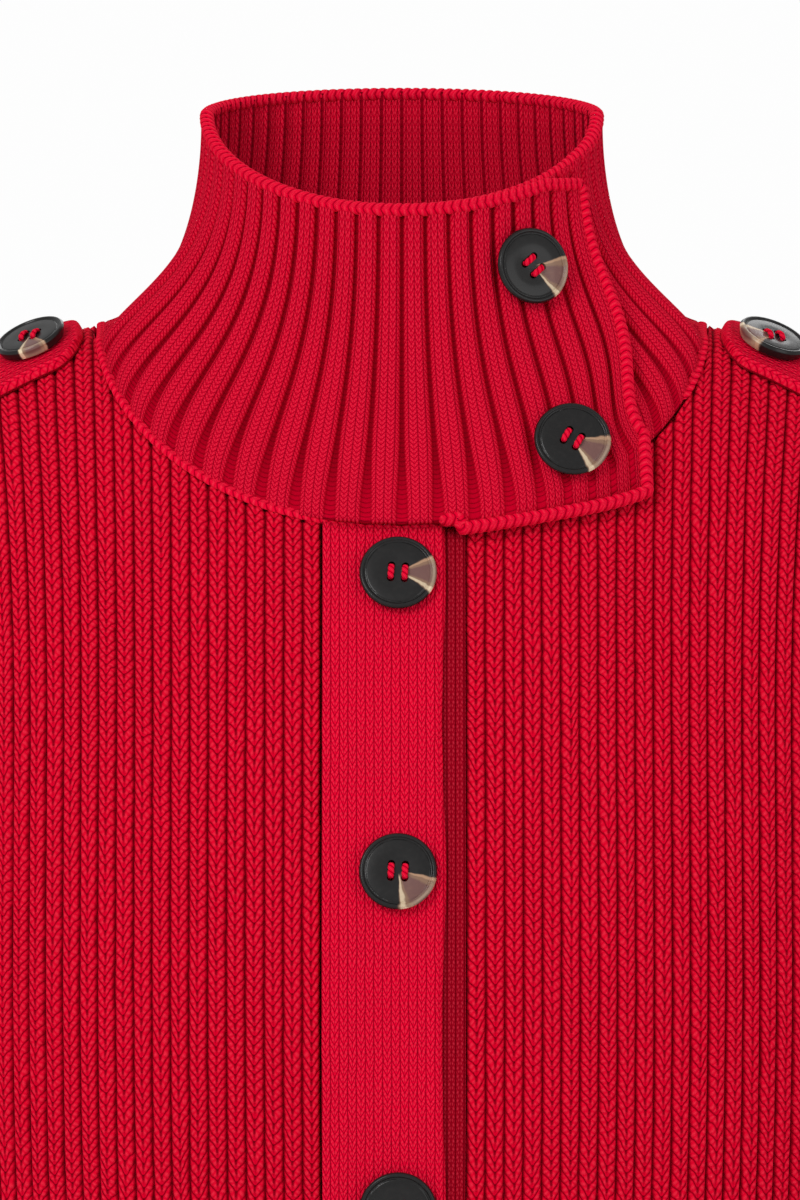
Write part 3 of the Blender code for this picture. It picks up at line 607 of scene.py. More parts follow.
def join_columns(sheet, columns, keys, tall, step_rows):
    """Faces between neighbouring columns, matched by their rows' keys. Beside the armhole the longer
    column is joined up to its step row alone."""
    for i in range(len(columns) - 1):
        runs = [columns[i], columns[i + 1]]
        marks = [keys[i], keys[i + 1]]
        if tall[i] != tall[i + 1]:
            side = 0 if tall[i] else 1
            end = step_rows[i + side] + 1
            runs[side], marks[side] = runs[side][:end], marks[side][:end]
        sheet.zip(*runs, *marks)


# ---------------------------------------------------------------- bands


def front_point(x, height, lift):
    turn = turn_at_x(x)
    rise = height - ARCH_BASE
    return lifted(turn, np.where(rise <= 0, rise, arch_angle(turn, height)), lift)


def band_edge(height):
    """The free edge, which swells a little at each button."""
    nearest = np.min([np.abs(height - button) for button in BAND_BUTTON_HEIGHTS], axis=0)
    return BAND_EDGE_X - BAND_EDGE_SWELL * (1 - smooth_step(1 - nearest / (1.6 * BUTTON_DIAMETER)))


def closed_wall(outer, outer_places, inner, inner_places):
    """An open wall from two grids, closed at its four edges."""
    sheet = Sheet()
    out, back = sheet.add(outer, outer_places), sheet.add(inner, inner_places)
    sheet.grid(out)
    sheet.grid(back)
    for a, b in ((out[0], back[0]), (out[-1], back[-1]), (out[:, 0], back[:, 0]), (out[:, -1], back[:, -1])):
        sheet.zip(a, b)
    return sheet


def band(name, left, right, lift, rounded, material):
    """A fine plain band from the neckline to the hem. rounded is how far each side edge turns in."""
    length = -NECK_DROP - HEM_HEIGHT
    share = np.linspace(0, 1, 6 * round(length / 0.024) + 1)
    across = np.linspace(0, 1, 33)
    across = 0.5 * across + 0.25 * (1 - np.cos(pi * across))
    guess = HEM_HEIGHT + length * share
    x = left(guess)[None] + (right(guess) - left(guess))[None] * across[:, None]
    turn = turn_at_x(x[:, -1])
    top = torso(turn, neck_angle(turn))[:, 2]
    height = HEM_HEIGHT + (top[:, None] - HEM_HEIGHT) * share[None]
    from_left, from_right = x - left(guess)[None], right(guess)[None] - x

    def turned_in(distance, radius):
        near = np.clip(1 - distance / radius, 0, 1) if radius else np.zeros_like(distance)
        return BAND_THICKNESS / 2 * (1 - np.sqrt(1 - near * near))

    inset = turned_in(from_left, rounded[0]) + turned_in(from_right, rounded[1])
    ridge = np.exp(-(((from_right - 0.0028) / 0.0012) ** 2)) * 0.0004 if rounded[1] else 0.0
    place = np.stack((from_left / JERSEY_PITCH, (height - HEM_HEIGHT) / JERSEY_ROW), -1)
    thin = (slice(None, None, 4), slice(None, None, 6))
    outer = front_point(x, height, lift + ridge - inset)
    inner = front_point(x[thin], height[thin], lift - BAND_THICKNESS + inset[thin])
    return closed_wall(outer, place, inner, place[thin]).build(name + "_knit", material)


# ---------------------------------------------------------------- collar


class CollarForm:
    """The collar's middle surface, read by rib number from the front centre round the wearer's left."""

    def __init__(self):
        steps = 200
        front = turn_round(np.linspace(round_at(0.0), round_at(CORNER_TURN), steps))
        back = turn_round(np.linspace(round_at(pi - CORNER_TURN), round_at(pi), steps))
        self.base = [
            Run(lifted(turns, neck_angle(turns), COLLAR_MID_LIFT), torso_normal(turns, neck_angle(turns)))
            for turns in (front, back)
        ]
        self.rim = [Run(self.rim_points(a, a + pi / 2)) for a in (0.0, pi / 2)]

    @staticmethod
    def rim_points(start, end):
        angle = np.linspace(start, end, 61)
        front = np.cos(angle) > 1e-9
        depth = np.where(front, RIM_FRONT_DEPTH, RIM_BACK_DEPTH)
        slope = np.where(front, RIM_FRONT_DIP, RIM_BACK_RISE)
        return np.stack(
            (
                RIM_HALF_WIDTH * np.sin(angle),
                -depth * np.cos(angle),
                RIM_SIDE_HEIGHT - slope * np.cos(angle),
            ),
            -1,
        )

    def read(self, rib):
        """The seam's point and normal and the rim's point at each rib."""
        rib = rib % COLLAR_TURN
        mirrored = rib > COLLAR_TURN / 2
        rib = np.where(mirrored, COLLAR_TURN - rib, rib)
        front = rib <= COLLAR_FRONT_RIBS
        front_share, back_share = rib / COLLAR_FRONT_RIBS, (rib - COLLAR_FRONT_RIBS) / COLLAR_BACK_RIBS
        found = []
        for reads in ([run.at for run in self.base], [run.normal_at for run in self.base],
                      [run.at for run in self.rim]):
            both = np.where(front[..., None], reads[0](front_share), reads[1](back_share))
            both[..., 0] *= np.where(mirrored, -1, 1)
            found.append(both)
        return found

    def point(self, rib, share):
        """share is 0 on the neckline and 1 on the rim; below 0 it goes on down the chest, in metres."""
        rib, share = np.broadcast_arrays(np.asarray(rib, float), np.asarray(share, float))
        base, normal, rim = self.read(rib)
        step = 0.05
        along = self.read(rib + step)[0] - self.read(rib - step)[0]
        inward = unit(np.cross(along, normal))
        to_rim = (rim - base) - normal * np.sum(normal * (rim - base), -1, keepdims=True)
        inward = inward + (unit(to_rim) - inward) * COLLAR_LEAN
        side = (base[..., :1] / NECK_HALF_WIDTH) ** 2
        inward[..., 1:2] *= 1 - side
        inward = unit(inward)
        middle_pull = np.where(base[..., 1:2] < 0, COLLAR_FRONT_PULL, COLLAR_BACK_PULL)
        pull = middle_pull + (COLLAR_SIDE_PULL - middle_pull) * side
        chord = np.linalg.norm(rim - base, axis=-1, keepdims=True)
        start = base + inward * (COLLAR_GAP + COLLAR_CORNER_GAP * side * side)
        up = np.array((0.0, 0.0, 1.0))
        on = hermite(
            start, rim, inward * chord * pull, up * chord * COLLAR_RIM_PULL, np.maximum(share, 0)[..., None]
        )
        if not np.any(share < 0):
            return on
        down = front_point(base[..., 0], base[..., 2] + np.minimum(share, 0), COLLAR_MID_LIFT)
        return np.where((share < 0)[..., None], down, on)

    def normal(self, rib, share):
        step, rise = 0.05, 0.01
        share = np.asarray(share, float)
        on = np.maximum(share, 0)
        across = self.point(rib + step, on) - self.point(rib - step, on)
        up = self.point(rib, np.minimum(on + rise, 1)) - self.point(rib, np.maximum(on - rise, 0))
        blend = smooth_step(share / SEAM_TURN_SHARE)[..., None]
        seam = self.read(np.broadcast_arrays(rib, share)[0])[1]
        return unit(seam + (unit(np.cross(across, up)) - seam) * blend)

    def layer(self, rib):
        return TAB_LIFT * smooth_step((rib - COLLAR_TURN + TAB_RAMP_RIBS) / (TAB_RAMP_RIBS - 0.5))

    def span(self, rib):
        """The strip's lowest and highest share at each rib."""
        past = (self.read(rib)[0][..., 0] - TAB_DROP_START_X) / (TAB_DROP_FULL_X - TAB_DROP_START_X)
        on_tab = rib > COLLAR_TURN
        hang = -TAB_HANG - (TAB_DROP - TAB_HANG) * past * past
        bottom = np.where(on_tab & (past > 0), hang, 0.0)
        top = bisect(
            lambda share: self.point(rib, share)[..., 2] >= TAB_TOP_HEIGHT, np.zeros(rib.shape),
            np.ones(rib.shape),
        )
        return bottom, np.where(on_tab, top, 1.0)

    def surface(self, rib, share, lift):
        lift = (self.layer(rib) + lift)[..., None]
        return self.point(rib, share) + self.normal(rib, share) * lift


def tab_end(rib, share):
    """Ribs with the tab's end drawn in between its corners."""
    bow = TAB_BOW * np.exp(-(((share - TAB_BOW_SHARE) / TAB_BOW_REACH) ** 2))
    start = COLLAR_TURN + TAB_BOW_START
    last = COLLAR_TURN + COLLAR_TAB_RIBS
    return rib - bow * np.clip((rib - start) / (last - start), 0.0, 1.0) ** 1.5


def collar_relief(rib, rows):
    """A broad rounded rib, from 1 on its top to -1 in its groove, which is wider near the seam."""
    side = np.abs(rib % 1.0 - 0.5)
    low, high = COLLAR_RAISED
    raised = low + (high - low) * smooth_step(rows / COLLAR_OPEN_ROWS)
    return 1 - 2 * smooth_step((side - raised + 0.14) / (0.5 - raised + 0.11)) - 0.5 * (side / 0.5) ** 2


def collar_wall(form, material):
    ribs = COLLAR_TURN + COLLAR_TAB_RIBS
    count = round(COLLAR_COLUMNS * ribs)
    rib = (np.arange(count + 1) / COLLAR_COLUMNS)[:, None]
    bottom, top = form.span(rib)
    row = np.linspace(0, 1, COLLAR_GRID_ROWS + 1)[None]
    share = bottom + (top - bottom) * row
    rows = np.where(share > 0, share * COLLAR_STITCH_ROWS, share / 0.0022)
    wave = collar_relief(rib, rows)
    soften = smooth_step(np.clip(row / 0.04, 0, 1)) * 0.75 + 0.25
    on = tab_end(rib, share)
    outer = form.surface(on, share, COLLAR_WALL / 2 + COLLAR_RELIEF / 2 * wave * soften - 0.0002)
    thin = (slice(None, None, 2), slice(None, None, 4))
    inner_lift = -COLLAR_WALL / 2 + COLLAR_RELIEF / 2 * 0.6 * wave[thin] + 0.0002
    inner = form.surface(on[thin], share[thin], inner_lift)
    place = np.stack((rib * np.ones_like(share), rows), -1)
    return closed_wall(outer, place, inner, place[thin]).build("collar_knit", material)


def roll(name, path, out, half_out, half_side, pitch, slant, material, closed=False):
    """A rolled edge or a chain of stitches: a lumpy cord along a path, wider or flatter across out."""
    sides, per_lump = 12, 4
    line = Run(path)
    lumps = max(2, round(line.length / pitch))
    count = lumps * per_lump + (0 if closed else 1)
    share = np.arange(count) / (lumps * per_lump)
    centre = line.at(share)
    out_at = unit(line.read(out, share))
    along = unit(line.at(np.clip(share + 1e-3, 0, 1)) - line.at(np.clip(share - 1e-3, 0, 1)))
    side_at = unit(np.cross(along, out_at))
    out_at = unit(np.cross(side_at, along))
    angle = 2 * pi * np.arange(sides) / sides
    turns = angle[None, :] / (2 * pi)
    phase = (share * lumps)[:, None] + slant * (np.abs(turns - 0.5) * 2)
    swell = 0.80 + 0.24 * np.sqrt(np.maximum(0, 1 - (2 * (phase % 1.0) - 1) ** 2))
    if not closed:
        ends = np.clip(np.minimum(share, 1 - share) * lumps / 1.2, 0, 1)
        swell = swell * np.sqrt(1 - (1 - ends) ** 2 + 0.02)[:, None]
    ring = (
        centre[:, None]
        + out_at[:, None] * (np.cos(angle) * half_out * swell)[..., None]
        + side_at[:, None] * (np.sin(angle) * half_side * swell)[..., None]
    )
    place = np.stack((np.broadcast_to(turns * 2, swell.shape), phase), -1)
    sheet = Sheet()
    numbers = sheet.add(ring, place)
    around = np.concatenate((numbers, numbers[:, :1]), axis=1)
    sheet.grid(around, closed=closed)
    if not closed:
        sheet.faces += [tuple(numbers[0].tolist()), tuple(numbers[-1].tolist())]
    return sheet.build(name, material)


def collar_edges(form, material):
    """The bind-off along the rim, down the tab's end and back along its foot, and the neckline's chain."""
    radius = sizes().roll_radius
    end = COLLAR_TURN + COLLAR_TAB_RIBS
    top_ribs = np.linspace(0.0, end - 0.25, 600)
    top_share = form.span(top_ribs)[1]
    top_share = np.minimum(top_share, 1.0) - 0.006
    top = form.span(np.array([end - 0.02]))[1]
    side_shares = np.linspace(float(top[0]) - 0.03, 0.03, 90)
    start = COLLAR_TURN + 1.0
    low_ribs = np.linspace(end - 0.25, start, 110)
    low_share = form.span(low_ribs)[0] + 0.0008
    ribs = np.concatenate((top_ribs, np.full(90, end - 0.02), low_ribs))
    shares = np.concatenate((top_share, side_shares, low_share))
    set_back = smooth_step((COLLAR_TAB_RIBS + 3 - ribs) / 3) * 0.0009
    lift = 0.0004 + 0.0009 * smooth_step(ribs - COLLAR_TURN + 2) - set_back
    ribs = tab_end(ribs, shares)
    path = form.surface(ribs, shares, lift)
    out = form.normal(ribs, shares)
    bound = roll("collar_bound_edge", path, out, radius * 1.10, radius, EDGE_STITCH, 1.0, material)

    chain_ribs = np.linspace(COLLAR_TAB_RIBS + 0.3, COLLAR_TURN + 1.2, 500)
    lift = COLLAR_WALL / 2 - form.layer(chain_ribs)
    path = form.surface(chain_ribs, np.full(chain_ribs.shape, 0.004), lift)
    out = form.normal(chain_ribs, np.zeros(chain_ribs.shape))
    chain = roll("neck_chain", path, out, *CHAIN_HALF, CHAIN_STITCH, 0.9, material)
    return bound, chain


# ---------------------------------------------------------------- sleeves


class SleeveForm:
    """The left sleeve's outside, read by share round it and by share of the cap, then of the arm."""

    def __init__(self):
        angles = pi / 2 * np.linspace(1, 0, 40)
        upright = torso(ARMHOLE_TURN, np.minimum(angles, float(shoulder_end(ARMHOLE_TURN))))
        under = turn_round(np.linspace(round_at(ARMHOLE_TURN), round_at(pi / 2), 60))[1:]
        front = np.concatenate((upright, torso(under, armhole_rise(under))))
        back_upright = torso(pi - ARMHOLE_TURN, np.minimum(angles, float(shoulder_end(ARMHOLE_TURN))))[::-1]
        under = pi - under[::-1]
        back = np.concatenate((torso(under, armhole_rise(under)), back_upright))
        self.loops = (Run(front), Run(back))

    def point(self, around, along):
        around, along = np.broadcast_arrays(np.asarray(around, float) % 1.0, np.asarray(along, float))
        angle = 2 * pi * around
        down = np.array((sin(ARM_LEAN), 0.0, -cos(ARM_LEAN)))
        out = np.array((cos(ARM_LEAN), 0.0, sin(ARM_LEAN)))
        share = np.maximum(along - 1, 0.0)
        width = read_table(ARM_SECTIONS, "half_width", "share", share)
        depth = read_table(ARM_SECTIONS, "half_depth", "share", share)
        centre = ARM_TOP + down * (ARM_LENGTH * share)[..., None]
        centre[..., 1] -= ARM_FORWARD * share * share + depth * np.sin(angle)
        arm = centre + out * (width * np.cos(angle))[..., None]
        front = self.loops[0].at(2 * around)
        back = self.loops[1].at(2 * around - 1)
        start = np.where((around <= 0.5)[..., None], front, back) + SLEEVE_START * ARMHOLE_GAP
        pull = np.linalg.norm(arm - start, axis=-1, keepdims=True)
        cap = hermite(
            start, arm, SLEEVE_START * pull, down * pull, np.minimum(along, 1.0)[..., None]
        )
        return np.where((along > 1)[..., None], arm, cap)

    def normal(self, around, along):
        step = 0.004
        across = self.point(around - step, along) - self.point(around + step, along)
        up = self.point(around, np.maximum(along - step, 0)) - self.point(around, np.minimum(along + step, 2))
        return unit(np.cross(across, up))


def sleeve(name, form, mirrored, material):
    knit = sizes()
    ribs, columns_in_rib, rows_in_stitch = SLEEVE_RIBS, SLEEVE_RIB_COLUMNS, SLEEVE_STITCH_ROWS
    fine = np.linspace(0, 2, 200)
    probe = form.point(np.linspace(0, 1, 12, endpoint=False)[:, None], fine[None])
    lengths = np.linalg.norm(np.diff(probe, axis=1), axis=-1).mean(0)
    marks = np.concatenate(([0.0], np.cumsum(lengths)))
    stitches = round(marks[-1] / knit.row_pitch)
    rows = stitches * rows_in_stitch
    along = np.interp(np.arange(rows + 1) / rows * marks[-1], marks, fine)[None]
    rib = np.arange(ribs * columns_in_rib)[:, None] / columns_in_rib
    around = rib / ribs
    v = np.broadcast_to((stitches - np.arange(rows + 1) / rows_in_stitch)[None], (rib.size, rows + 1))
    u = np.broadcast_to(rib, v.shape)
    surface, normal = form.point(around, along), form.normal(around, along)
    v = wander(3 * np.sin(2 * pi * u / ribs), v)
    outer = surface + normal * rib_stitch(u, v, knit.rib_depth)[..., None]
    place = np.stack((u, v), -1)
    picks = sorted({*range(0, rows - 3, 7), rows})
    inner = (surface - normal * WALL)[::3, picks]
    inner_place = place[::3, picks]
    if mirrored:
        flip = np.array((-1.0, 1.0, 1.0))
        outer, inner = outer * flip, inner * flip
    sheet = Sheet()
    out, back = sheet.add(outer, place), sheet.add(inner, inner_place)
    sheet.grid(out, closed=True)
    sheet.grid(back, closed=True)
    for row in (0, -1):
        sheet.zip([*out[:, row], out[0, row]], [*back[:, row], back[0, row]])
    return sheet.build(name + "_knit", material, wrap=ribs)


# ---------------------------------------------------------------- epaulettes


def shoulder_frame(x, down):
    """The angle and the arch's angle of points at a distance down the front of the shoulder."""
    turn = turn_at_ridge(x)
    angles = np.linspace(pi / 2, pi / 2 - 0.9, 120)
    found = np.empty(down.shape)
    for i, one in enumerate(turn):
        walk = Run(torso(one, angles))
        found[i] = np.interp(down[i], walk.marks, angles)
    return np.broadcast_to(turn[:, None], down.shape), found


def epaulette(name, mirrored, material):
    form_end = float(torso(ARMHOLE_TURN, pi / 2)[0])
    length = form_end - SEAM_GAP - STRAP_TIP_X
    station = length * np.linspace(0, 1, 73) ** 1.5
    near = np.clip(1 - station / STRAP_TIP_ROUND, 0, 1)
    half = STRAP_HALF_WIDTH * np.sqrt(np.maximum(0.04, 1 - near**2))
    across = np.sin(np.linspace(-pi / 2, pi / 2, 33)) * 0.5 + np.linspace(-1, 1, 33) * 0.5
    down = STRAP_CENTRE_DOWN + half[:, None] * across[None]
    turn, angle = shoulder_frame(STRAP_TIP_X + station, down)
    edge = np.abs(across)[None] * np.ones_like(down)
    from_edge = np.minimum((1 - edge) * half[:, None], station[:, None] + 1e-5)
    round_off = np.sqrt(np.clip(1 - (1 - np.clip(from_edge / STRAP_ROUND, 0, 1)) ** 2, 0, 1))
    bead = 0.0006 * np.exp(-(((from_edge - STRAP_ROUND) / 0.0014) ** 2))
    u = (down - STRAP_CENTRE_DOWN) / JERSEY_PITCH
    v = np.broadcast_to((station / JERSEY_ROW)[:, None], u.shape)
    height = STRAP_EDGE * 0.6 + (STRAP_THICKNESS - STRAP_EDGE * 0.6) * round_off + bead
    top = lifted(turn, angle, STRAP_LIFT + height)
    under = lifted(turn[::3, ::4], angle[::3, ::4], np.full(turn[::3, ::4].shape, STRAP_LIFT))
    place = np.stack((u, v), -1)
    under_place = np.zeros((*under.shape[:2], 2))
    if mirrored:
        flip = np.array((-1.0, 1.0, 1.0))
        top, under = top * flip, under * flip
    return closed_wall(top, place, under, under_place).build(name + "_knit", material)


# ---------------------------------------------------------------- buttons

BUTTON_THICKNESS = 0.0042
BUTTON_SIDE_SHARE = 0.75
BUTTON_FOOT_INSET = 0.0013
THREAD_SUNK = 0.0012  # how far its ends go down into the holes
HOLE_SPREAD = 0.0025
HOLE_RADIUS = 0.00135
Step = namedtuple("Step", "inward down")  # how far the button's face is cut in, then sunk
FACE_STEPS = (
    Step(0.0008, 0.0),
    Step(0.0003, -0.0005),
    Step(0.0005, -0.0002),
    Step(0.0003, 0.0003),
    Step(0.0004, 0.0001),
    Step(0.0045, -0.0001),
    Step(0.0030, -0.0002),
)


def deselect():
    for thing in bpy.context.selected_objects:
        thing.select_set(False)


def select_faces(mesh, wanted):
    """Selects the faces in edit mode whose normal and centre pass a test."""
    bm = bmesh.from_edit_mesh(mesh)
    for face in bm.faces:
        face.select_set(bool(wanted(face.normal, face.calc_center_median())))
    bm.select_flush_mode()
    bmesh.update_edit_mesh(mesh)


def turned_button(diameter):
    """A turned button at the origin, its foot on the XY plane: thin rim, ring groove, dished face."""
    deselect()
    radius, side = diameter / 2, BUTTON_THICKNESS * BUTTON_SIDE_SHARE
    bpy.ops.mesh.primitive_cylinder_add(
        vertices=sizes().button_sides, radius=radius, depth=side, location=(0, 0, side / 2)
    )
    blank = bpy.context.object
    bpy.ops.object.transform_apply(location=True, rotation=False, scale=False)
    bpy.ops.object.mode_set(mode="EDIT")
    bpy.ops.mesh.select_mode(type="FACE")
    select_faces(blank.data, lambda normal, centre: normal.z < -0.9)
    foot = (radius - BUTTON_FOOT_INSET) / radius
    bpy.ops.transform.resize(value=(foot, foot, 1.0), center_override=(0.0, 0.0, 0.0))
    select_faces(blank.data, lambda normal, centre: normal.z > 0.9)
    bpy.ops.mesh.extrude_region_move(TRANSFORM_OT_translate={"value": (0, 0, BUTTON_THICKNESS - side)})
    crest = (radius - 0.0007) / radius
    bpy.ops.transform.resize(value=(crest, crest, 1.0), center_override=(0.0, 0.0, 0.0))
    for step in FACE_STEPS:
        bpy.ops.mesh.inset(thickness=step.inward)
        bpy.ops.transform.translate(value=(0.0, 0.0, step.down))
    bpy.ops.mesh.select_all(action="SELECT")
    bpy.ops.mesh.normals_make_consistent(inside=False)
    bpy.ops.object.mode_set(mode="OBJECT")
    pins = hole_pins()
    deselect()
    blank.select_set(True)
    bpy.context.view_layer.objects.active = blank
    rounded = blank.modifiers.new("Turned edges", "BEVEL")
    rounded.width, rounded.segments, rounded.angle_limit = 0.00022, 2, radians(24)
    cut = blank.modifiers.new("Holes", "BOOLEAN")
    cut.object = pins
    for modifier in ("Turned edges", "Holes"):
        bpy.ops.object.modifier_apply(modifier=modifier)
    bpy.data.objects.remove(pins)
    bpy.ops.object.shade_smooth_by_angle(angle=radians(38))
    return blank


def hole_pins():
    """Four pins, drilled right through."""
    deselect()
    for x in (-HOLE_SPREAD, HOLE_SPREAD):
        for y in (-HOLE_SPREAD, HOLE_SPREAD):
            bpy.ops.mesh.primitive_cylinder_add(
                vertices=20, radius=HOLE_RADIUS, depth=4 * BUTTON_THICKNESS, location=(x, y, 0.0)
            )
            bpy.context.object["pin"] = True
    pins = [thing for thing in bpy.context.scene.objects if thing.get("pin")]
    deselect()
    for pin in pins:
        pin.select_set(True)
    bpy.context.view_layer.objects.active = pins[0]
    bpy.ops.object.join()
    return bpy.context.object


class Seat:
    """Where a solid button lies: the middle of its foot, its radius, and its directions as seen from the
    front, right, up and outwards."""

    def __init__(self, node):
        mesh = frame["nodes"][node].data
        points = np.empty(3 * len(mesh.vertices))
        mesh.vertices.foreach_get("co", points)
        points = np.unique(points.reshape(-1, 3).round(7), axis=0)
        out = np.linalg.svd(points - points.mean(0), full_matrices=False)[2][2]
        out = out if out[1] < 0 else -out
        right = unit(np.array((1.0, 0.0, 0.0)) - out * out[0])
        self.axes = np.stack((right, np.cross(out, right), out))
        reach = points @ self.axes.T
        middle = (reach.max(0) + reach.min(0)) / 2
        middle[2] = reach[:, 2].min()
        self.radius = float(np.ptp(reach[:, 0]) / 2)
        self.foot = middle @ self.axes

    def place(self, points, turn):
        """Points of a button at the origin, turned about its middle and set down on the seat."""
        c, s = cos(radians(turn)), sin(radians(turn))
        seen = np.stack((c * points[:, 0] - s * points[:, 1], s * points[:, 0] + c * points[:, 1]), -1)
        return seen, self.foot + np.column_stack((seen, points[:, 2])) @ self.axes


def seat_button(node, pattern, material):
    seat, turned = Seat(node), BUTTON_TURNS[node]
    mesh = pattern.data.copy()
    points = np.empty(3 * len(mesh.vertices))
    mesh.vertices.foreach_get("co", points)
    points = points.reshape(-1, 3)
    seen, placed = seat.place(points, turned.holes)
    mesh.vertices.foreach_set("co", placed.ravel())
    c, s = cos(radians(turned.streak)), sin(radians(turned.streak))
    along = (c * seen[:, 0] + s * seen[:, 1]) / seat.radius
    across = (c * seen[:, 1] - s * seen[:, 0]) / seat.radius * tan(radians(20)) / tan(radians(turned.spread))
    corners = np.empty(len(mesh.loops), int)
    mesh.loops.foreach_get("vertex_index", corners)
    while mesh.uv_layers:
        mesh.uv_layers.remove(mesh.uv_layers[0])
    layer = mesh.uv_layers.new(name="streak")
    layer.data.foreach_set("uv", np.stack((along, across), -1)[corners].astype(np.float32).ravel())
    mesh.materials.clear()
    mesh.materials.append(material)
    button = bpy.data.objects.new(node + "_turned", mesh)
    bpy.context.scene.collection.objects.link(button)
    return button, seat


def button_thread(node, seat, material):
    """Two bars of yarn, each up through one hole and down through the next."""
    face = BUTTON_THICKNESS + sum(step.down for step in FACE_STEPS)
    angle = np.linspace(0, pi, 13)
    span, rise = HOLE_SPREAD - 0.0001, 0.0011
    parts = []
    for number, x in enumerate((-HOLE_SPREAD, HOLE_SPREAD)):
        height = face - THREAD_SUNK + (rise + THREAD_SUNK) * np.sin(angle) ** 0.45
        path = np.stack((np.full(13, x), -span * np.cos(angle), height), -1)
        out = np.tile((1.0, 0.0, 0.0), (13, 1))
        placed = seat.place(path, BUTTON_TURNS[node].holes)[1]
        ends = seat.place(path + out * 0.001, BUTTON_TURNS[node].holes)[1]
        name = f"{node}_thread_{number + 1}"
        parts.append(roll(name, placed, unit(ends - placed), 0.00115, 0.0007, 0.0018, 0.8, material))
    return parts


# ---------------------------------------------------------------- finishes


class Value:
    """A number in a material's nodes, which arithmetic works on."""

    def __init__(self, finish, socket):
        self.finish, self.socket = finish, socket

    def math(self, operation, *others):
        values = {i: value for i, value in enumerate((self, *others))}
        return self.finish.node("ShaderNodeMath", {"operation": operation}, values)

    def flipped(self, operation, other):
        return self.finish.node("ShaderNodeMath", {"operation": operation}, {0: other, 1: self})

    def __add__(self, other):
        return self.math("ADD", other)

    def __sub__(self, other):
        return self.math("SUBTRACT", other)

    def __mul__(self, other):
        return self.math("MULTIPLY", other)

    def __truediv__(self, other):
        return self.math("DIVIDE", other)

    def __rsub__(self, other):
        return self.flipped("SUBTRACT", other)

    __radd__, __rmul__ = __add__, __mul__

    def __abs__(self):
        return self.math("ABSOLUTE")

    def fract(self):
        return self.math("FRACT")

    def root(self):
        return self.math("MAXIMUM", 0.0).math("SQRT")

    def wave(self):
        """Between 0 and 1, once for each unit."""
        return (self * 2 * pi).math("SINE") * 0.5 + 0.5

    def ramp(self, low, high):
        """0 below low and 1 above high, softly; low may be the higher of the two."""
        settings = {"interpolation_type": "SMOOTHSTEP"}
        values = {"Value": self, "From Min": low, "From Max": high, "To Min": 0.0, "To Max": 1.0}
        return self.finish.node("ShaderNodeMapRange", settings, values)

    def round_top(self):
        """A half-round ridge across each unit."""
        middle = self.fract() * 2 - 1
        return (1 - middle * middle).root()


class Finish:
    """A material, its nodes and its surface."""

    def __init__(self, name, constants):
        self.material = bpy.data.materials.new(name)
        self.material.use_nodes = True
        self.tree = self.material.node_tree
        self.surface = self.tree.nodes["Principled BSDF"]
        for socket, value in constants.items():
            self.surface.inputs[socket].default_value = value

    def node(self, kind, settings=None, values=None, output=0):
        made = self.tree.nodes.new(kind)
        for setting, value in (settings or {}).items():
            setattr(made, setting, value)
        for socket, value in (values or {}).items():
            self.feed(made.inputs[socket], value)
        return Value(self, made.outputs[output])

    def feed(self, socket, value):
        if isinstance(value, Value):
            self.tree.links.new(value.socket, socket)
        else:
            socket.default_value = value

    def mix(self, factor, first, second):
        """A colour between two, each a colour or a link."""
        made = self.tree.nodes.new("ShaderNodeMix")
        made.data_type = "RGBA"
        for socket, value in ((made.inputs[0], factor), (made.inputs[6], first), (made.inputs[7], second)):
            self.feed(socket, (*value, 1.0) if isinstance(value, (tuple, list)) else value)
        return Value(self, made.outputs[2])

    def place(self, layer):
        """The two numbers of a UV map."""
        both = self.node("ShaderNodeUVMap", {"uv_map": layer})
        split = self.tree.nodes.new("ShaderNodeSeparateXYZ")
        self.tree.links.new(both.socket, split.inputs[0])
        return Value(self, split.outputs[0]), Value(self, split.outputs[1])

    def noise(self, scale, detail=2.0, roughness=0.5):
        where = self.node("ShaderNodeTexCoord", output="Object")
        return self.node(
            "ShaderNodeTexNoise", None,
            {"Vector": where, "Scale": scale, "Detail": detail, "Roughness": roughness},
        )

    def bump(self, height):
        """A height in millimetres."""
        values = {"Strength": 1.0, "Distance": 0.001, "Height": height}
        return self.node("ShaderNodeBump", None, values, "Normal")

    def wear(self, colour, normal=None, roughness=None):
        links = {"Base Color": colour, "Normal": normal, "Roughness": roughness}
        for socket, value in links.items():
            if value is not None:
                self.feed(self.surface.inputs[socket], value)
        return self.material


def yarn(name):
    return Finish(
        name,
        {
            "Roughness": 0.88,
            "Specular IOR Level": 0.015,
            "Sheen Weight": 0.03,
            "Sheen Roughness": 0.40,
            "Sheen Tint": (1.0, 0.06, 0.12, 1.0),
        },
    )


def wool(finish, raised, leg, ply, ground, fuzz_scale):
    """Yarn's colour, with shade painted in from the ridge it lies on and its own roundness, and a highlight
    painted on along its twist.
    """
    fuzz = finish.noise(fuzz_scale, 3.0, 0.7)
    cloud = finish.noise(26.0, 1.0)
    # painted shade: lower on the ridge and between the legs the colour goes towards the painted shade colour
    lit = raised.ramp(0.10, 0.85) * (leg.ramp(0.10, 0.85) * 0.66 + 0.34)
    lit = (lit * 0.9 + fuzz * 0.22 + cloud * 0.14 - 0.14).math("MINIMUM", 1.0).math("MAXIMUM", 0.0)
    base = finish.mix(lit, tuple(colours().deep), ground)
    # painted highlight: on the tops of the raised legs, along the twist
    shine = raised.ramp(0.6, 1.0) * leg.ramp(0.55, 1.0) * (ply * 0.75 + fuzz * 0.5 - 0.20)
    return finish.mix(shine.math("MAXIMUM", 0.0) * 0.42, base, tuple(colours().light)), fuzz


def uneven(finish, u, v, scale, across, along):
    """The knit's places, wandering a little as hand-fed yarn does."""
    return (
        u + (finish.noise(scale, 1.0) - 0.5) * across,
        v + (finish.noise(scale * 1.37, 1.0) - 0.5) * along,
    )


